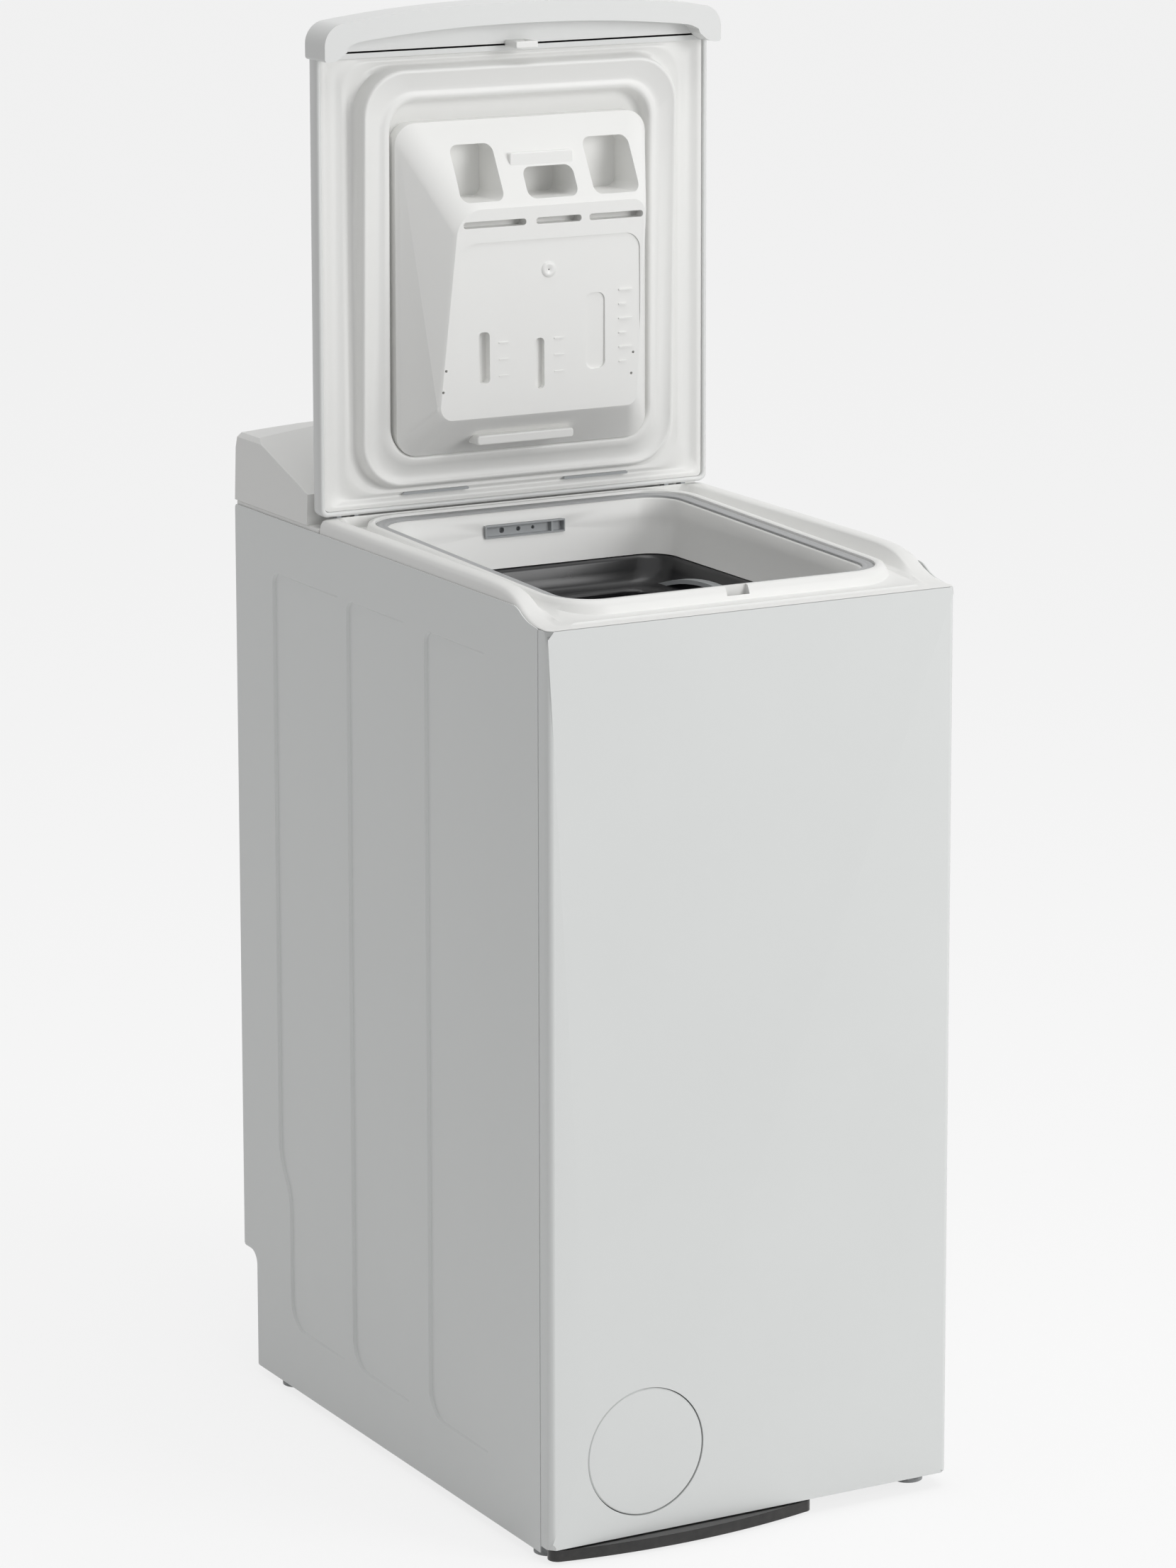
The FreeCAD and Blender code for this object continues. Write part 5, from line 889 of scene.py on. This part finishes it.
def halve(edge, times):
    """Split an edge in two, and each half again; unlike the subdivide operator, this keeps other loops valid."""
    if times:
        other = bmesh.utils.edge_split(edge, edge.verts[0], 0.5)[0]
        halve(edge, times - 1)
        halve(other, times - 1)


def lying(bm, x, y0, y1, radius, height, times=6):
    """A loop seen from above, in millimetres, with its straight runs cut small and its height set by y."""
    known = set(bm.verts)
    edges = loop(bm, [(-x * MM, y0 * MM, 0.0), (x * MM, y0 * MM, 0.0), (x * MM, y1 * MM, 0.0), (-x * MM, y1 * MM, 0.0)],
                 [radius * MM] * 4)
    for run in [e for e in edges if e.calc_length() > 80.0 * MM]:
        halve(run, times)
    fresh = [v for v in bm.verts if v not in known]
    for vert in fresh:
        vert.co.z = height(vert.co.y / MM) * MM
    return list({e for v in fresh for e in v.link_edges})


def rail(share):
    return lambda y: BASE + share * (along(S_CURVE, y) - BASE)


def near_ring(drop):
    return lambda y: ring_height(y) - drop


def level(z):
    return lambda y: z


# %% The worktop
bm = bmesh.new()
WORKTOP_LOOPS = [
    (196.0, -296.0, 129.0, 4.0, level(BASE)), (198.7, -298.5, 131.0, 5.0, level(BASE)),
    (198.7, -298.5, 131.0, 5.0, rail(0.50)), (198.0, -297.6, 130.8, 5.5, rail(0.80)),
    (196.2, -296.4, 130.4, 6.0, rail(0.95)), (193.0, -294.6, 130.0, 7.0, rail(1.0)),
    (183.0, -290.0, 129.6, 8.0, rail(1.0)), (180.4, -289.0, 129.4, 9.0, lambda y: rail(0.94)(y)),
    (177.0, -287.0, 129.2, 11.0, lambda y: max(along(FLOOR_LINE, y) + 1.6, BASE)),
    (174.0, -284.0, 129.0, 14.0, lambda y: along(FLOOR_LINE, y)),
    (169.6, -272.5, 128.8, 46.0, lambda y: along(FLOOR_LINE, y) + 0.6),
    (168.2, -270.2, 128.6, 46.0, lambda y: 0.45 * along(FLOOR_LINE, y) + 0.55 * ring_height(y)),
    (166.8, -267.6, 128.4, 45.0, near_ring(0.7)), (165.0, -265.4, 128.0, 44.0, near_ring(0.0)),
    (161.6, -263.2, 127.2, 43.0, near_ring(0.0)), (160.2, -262.2, 126.2, 42.2, near_ring(0.8)),
    (160.0, -262.0, 126.0, 42.0, near_ring(5.0)), (148.4, -250.4, 114.4, 30.4, near_ring(5.0)),
    (147.2, -249.2, 113.2, 29.2, near_ring(6.0)), (146.6, -247.4, 112.8, 29.0, level(812.0)),
    (145.0, -241.0, 111.0, 28.4, level(804.0)), (141.6, -228.0, 107.6, 26.6, level(787.0)),
    (140.0, -222.0, 106.0, 26.0, level(780.6)), (142.4, -224.4, 108.4, 27.0, level(780.0)),
    (149.6, -251.0, 115.4, 31.0, level(809.0))]
loops = [lying(bm, *row) for row in WORKTOP_LOOPS]
skin(bm, loops + [loops[0]], (0.0, 0.0, 1.0))
tool = bmesh.new()
block(tool, -41, 41, 808.0, 820.0, 99.0, 122.0, 3.0)
for x0, x1, y0, y1 in ((-11.0, 11.0, -271.0, -264.0),):
    block(tool, x0, x1, 795.0, 835.0, y0, y1, 1.5)
bm = cut(bm, tool)
make_piece(bm, "worktop_moulding", "cabinet", TOP_PLASTIC, ["worktop"], sharp_deg=50.0)

# %% The deck behind it
bm = bmesh.new()
block(bm, -198.7, 198.7, 819.0, 829.0, 130.0, 298.7, 2.0)
make_piece(bm, "worktop_deck", "cabinet", TOP_PLASTIC, edge=1.0 * MM)

# %% The grey seal on its ledge
bm = bmesh.new()
loops = [lying(bm, 160.0 - i, -262.0 + i, 126.0 - i, 42.0 - i, near_ring(d)) for i, d in (
    (0.5, 4.9), (0.5, 3.0), (1.4, 2.4), (4.6, 2.2), (6.0, 2.9), (7.4, 2.4), (9.8, 2.4), (10.9, 3.0), (10.9, 4.9))]
skin(bm, loops + [loops[0]], (0.0, 0.0, 1.0))
make_piece(bm, "well_seal_strip", "cabinet", SEAL_RUBBER, ["well_seal"], sharp_deg=60.0)

# %% [markdown]
# ## The door gasket
# A bellows of black rubber closes the gap between the well, which stands still, and the tub, which shakes. Its
# folds are the same family of outlines again, stepping inwards and outwards as they go down. Its top stays
# with the cabinet and its foot goes with the tub; here the piece rides on neither body, and its place is baked into its
# mesh.

# %% The gasket
FOLDS = [(0.0, -2.4), (0.0, 0.2), (0.05, 1.6), (0.16, 3.4), (0.26, 5.2), (0.31, 8.0), (0.335, 13.0), (0.36, 17.5),
         (0.39, 19.0), (0.42, 17.6), (0.45, 12.5), (0.48, 9.0), (0.53, 7.6), (0.58, 9.0), (0.62, 13.0), (0.65, 14.6),
         (0.69, 13.6), (0.74, 10.0), (0.82, 7.0), (0.92, 5.4), (1.0, 5.0)]
bm = bmesh.new()
loops = [lying(bm, 140.0 - 12.0 * t - d, -222.0 + 70.0 * t + d, 106.0 - d, 26.0 + 4.0 * t, level(779.6 - 76.0 * t), times=4)
         for t, d in FOLDS]
skin(bm, loops, (0.0, 0.0, 1.0))
gasket = make_piece(bm, "gasket_bellows", "", GASKET_RUBBER, ["door_gasket"], sharp_deg=80.0,
                    wall=1.6 * MM)
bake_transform(gasket)
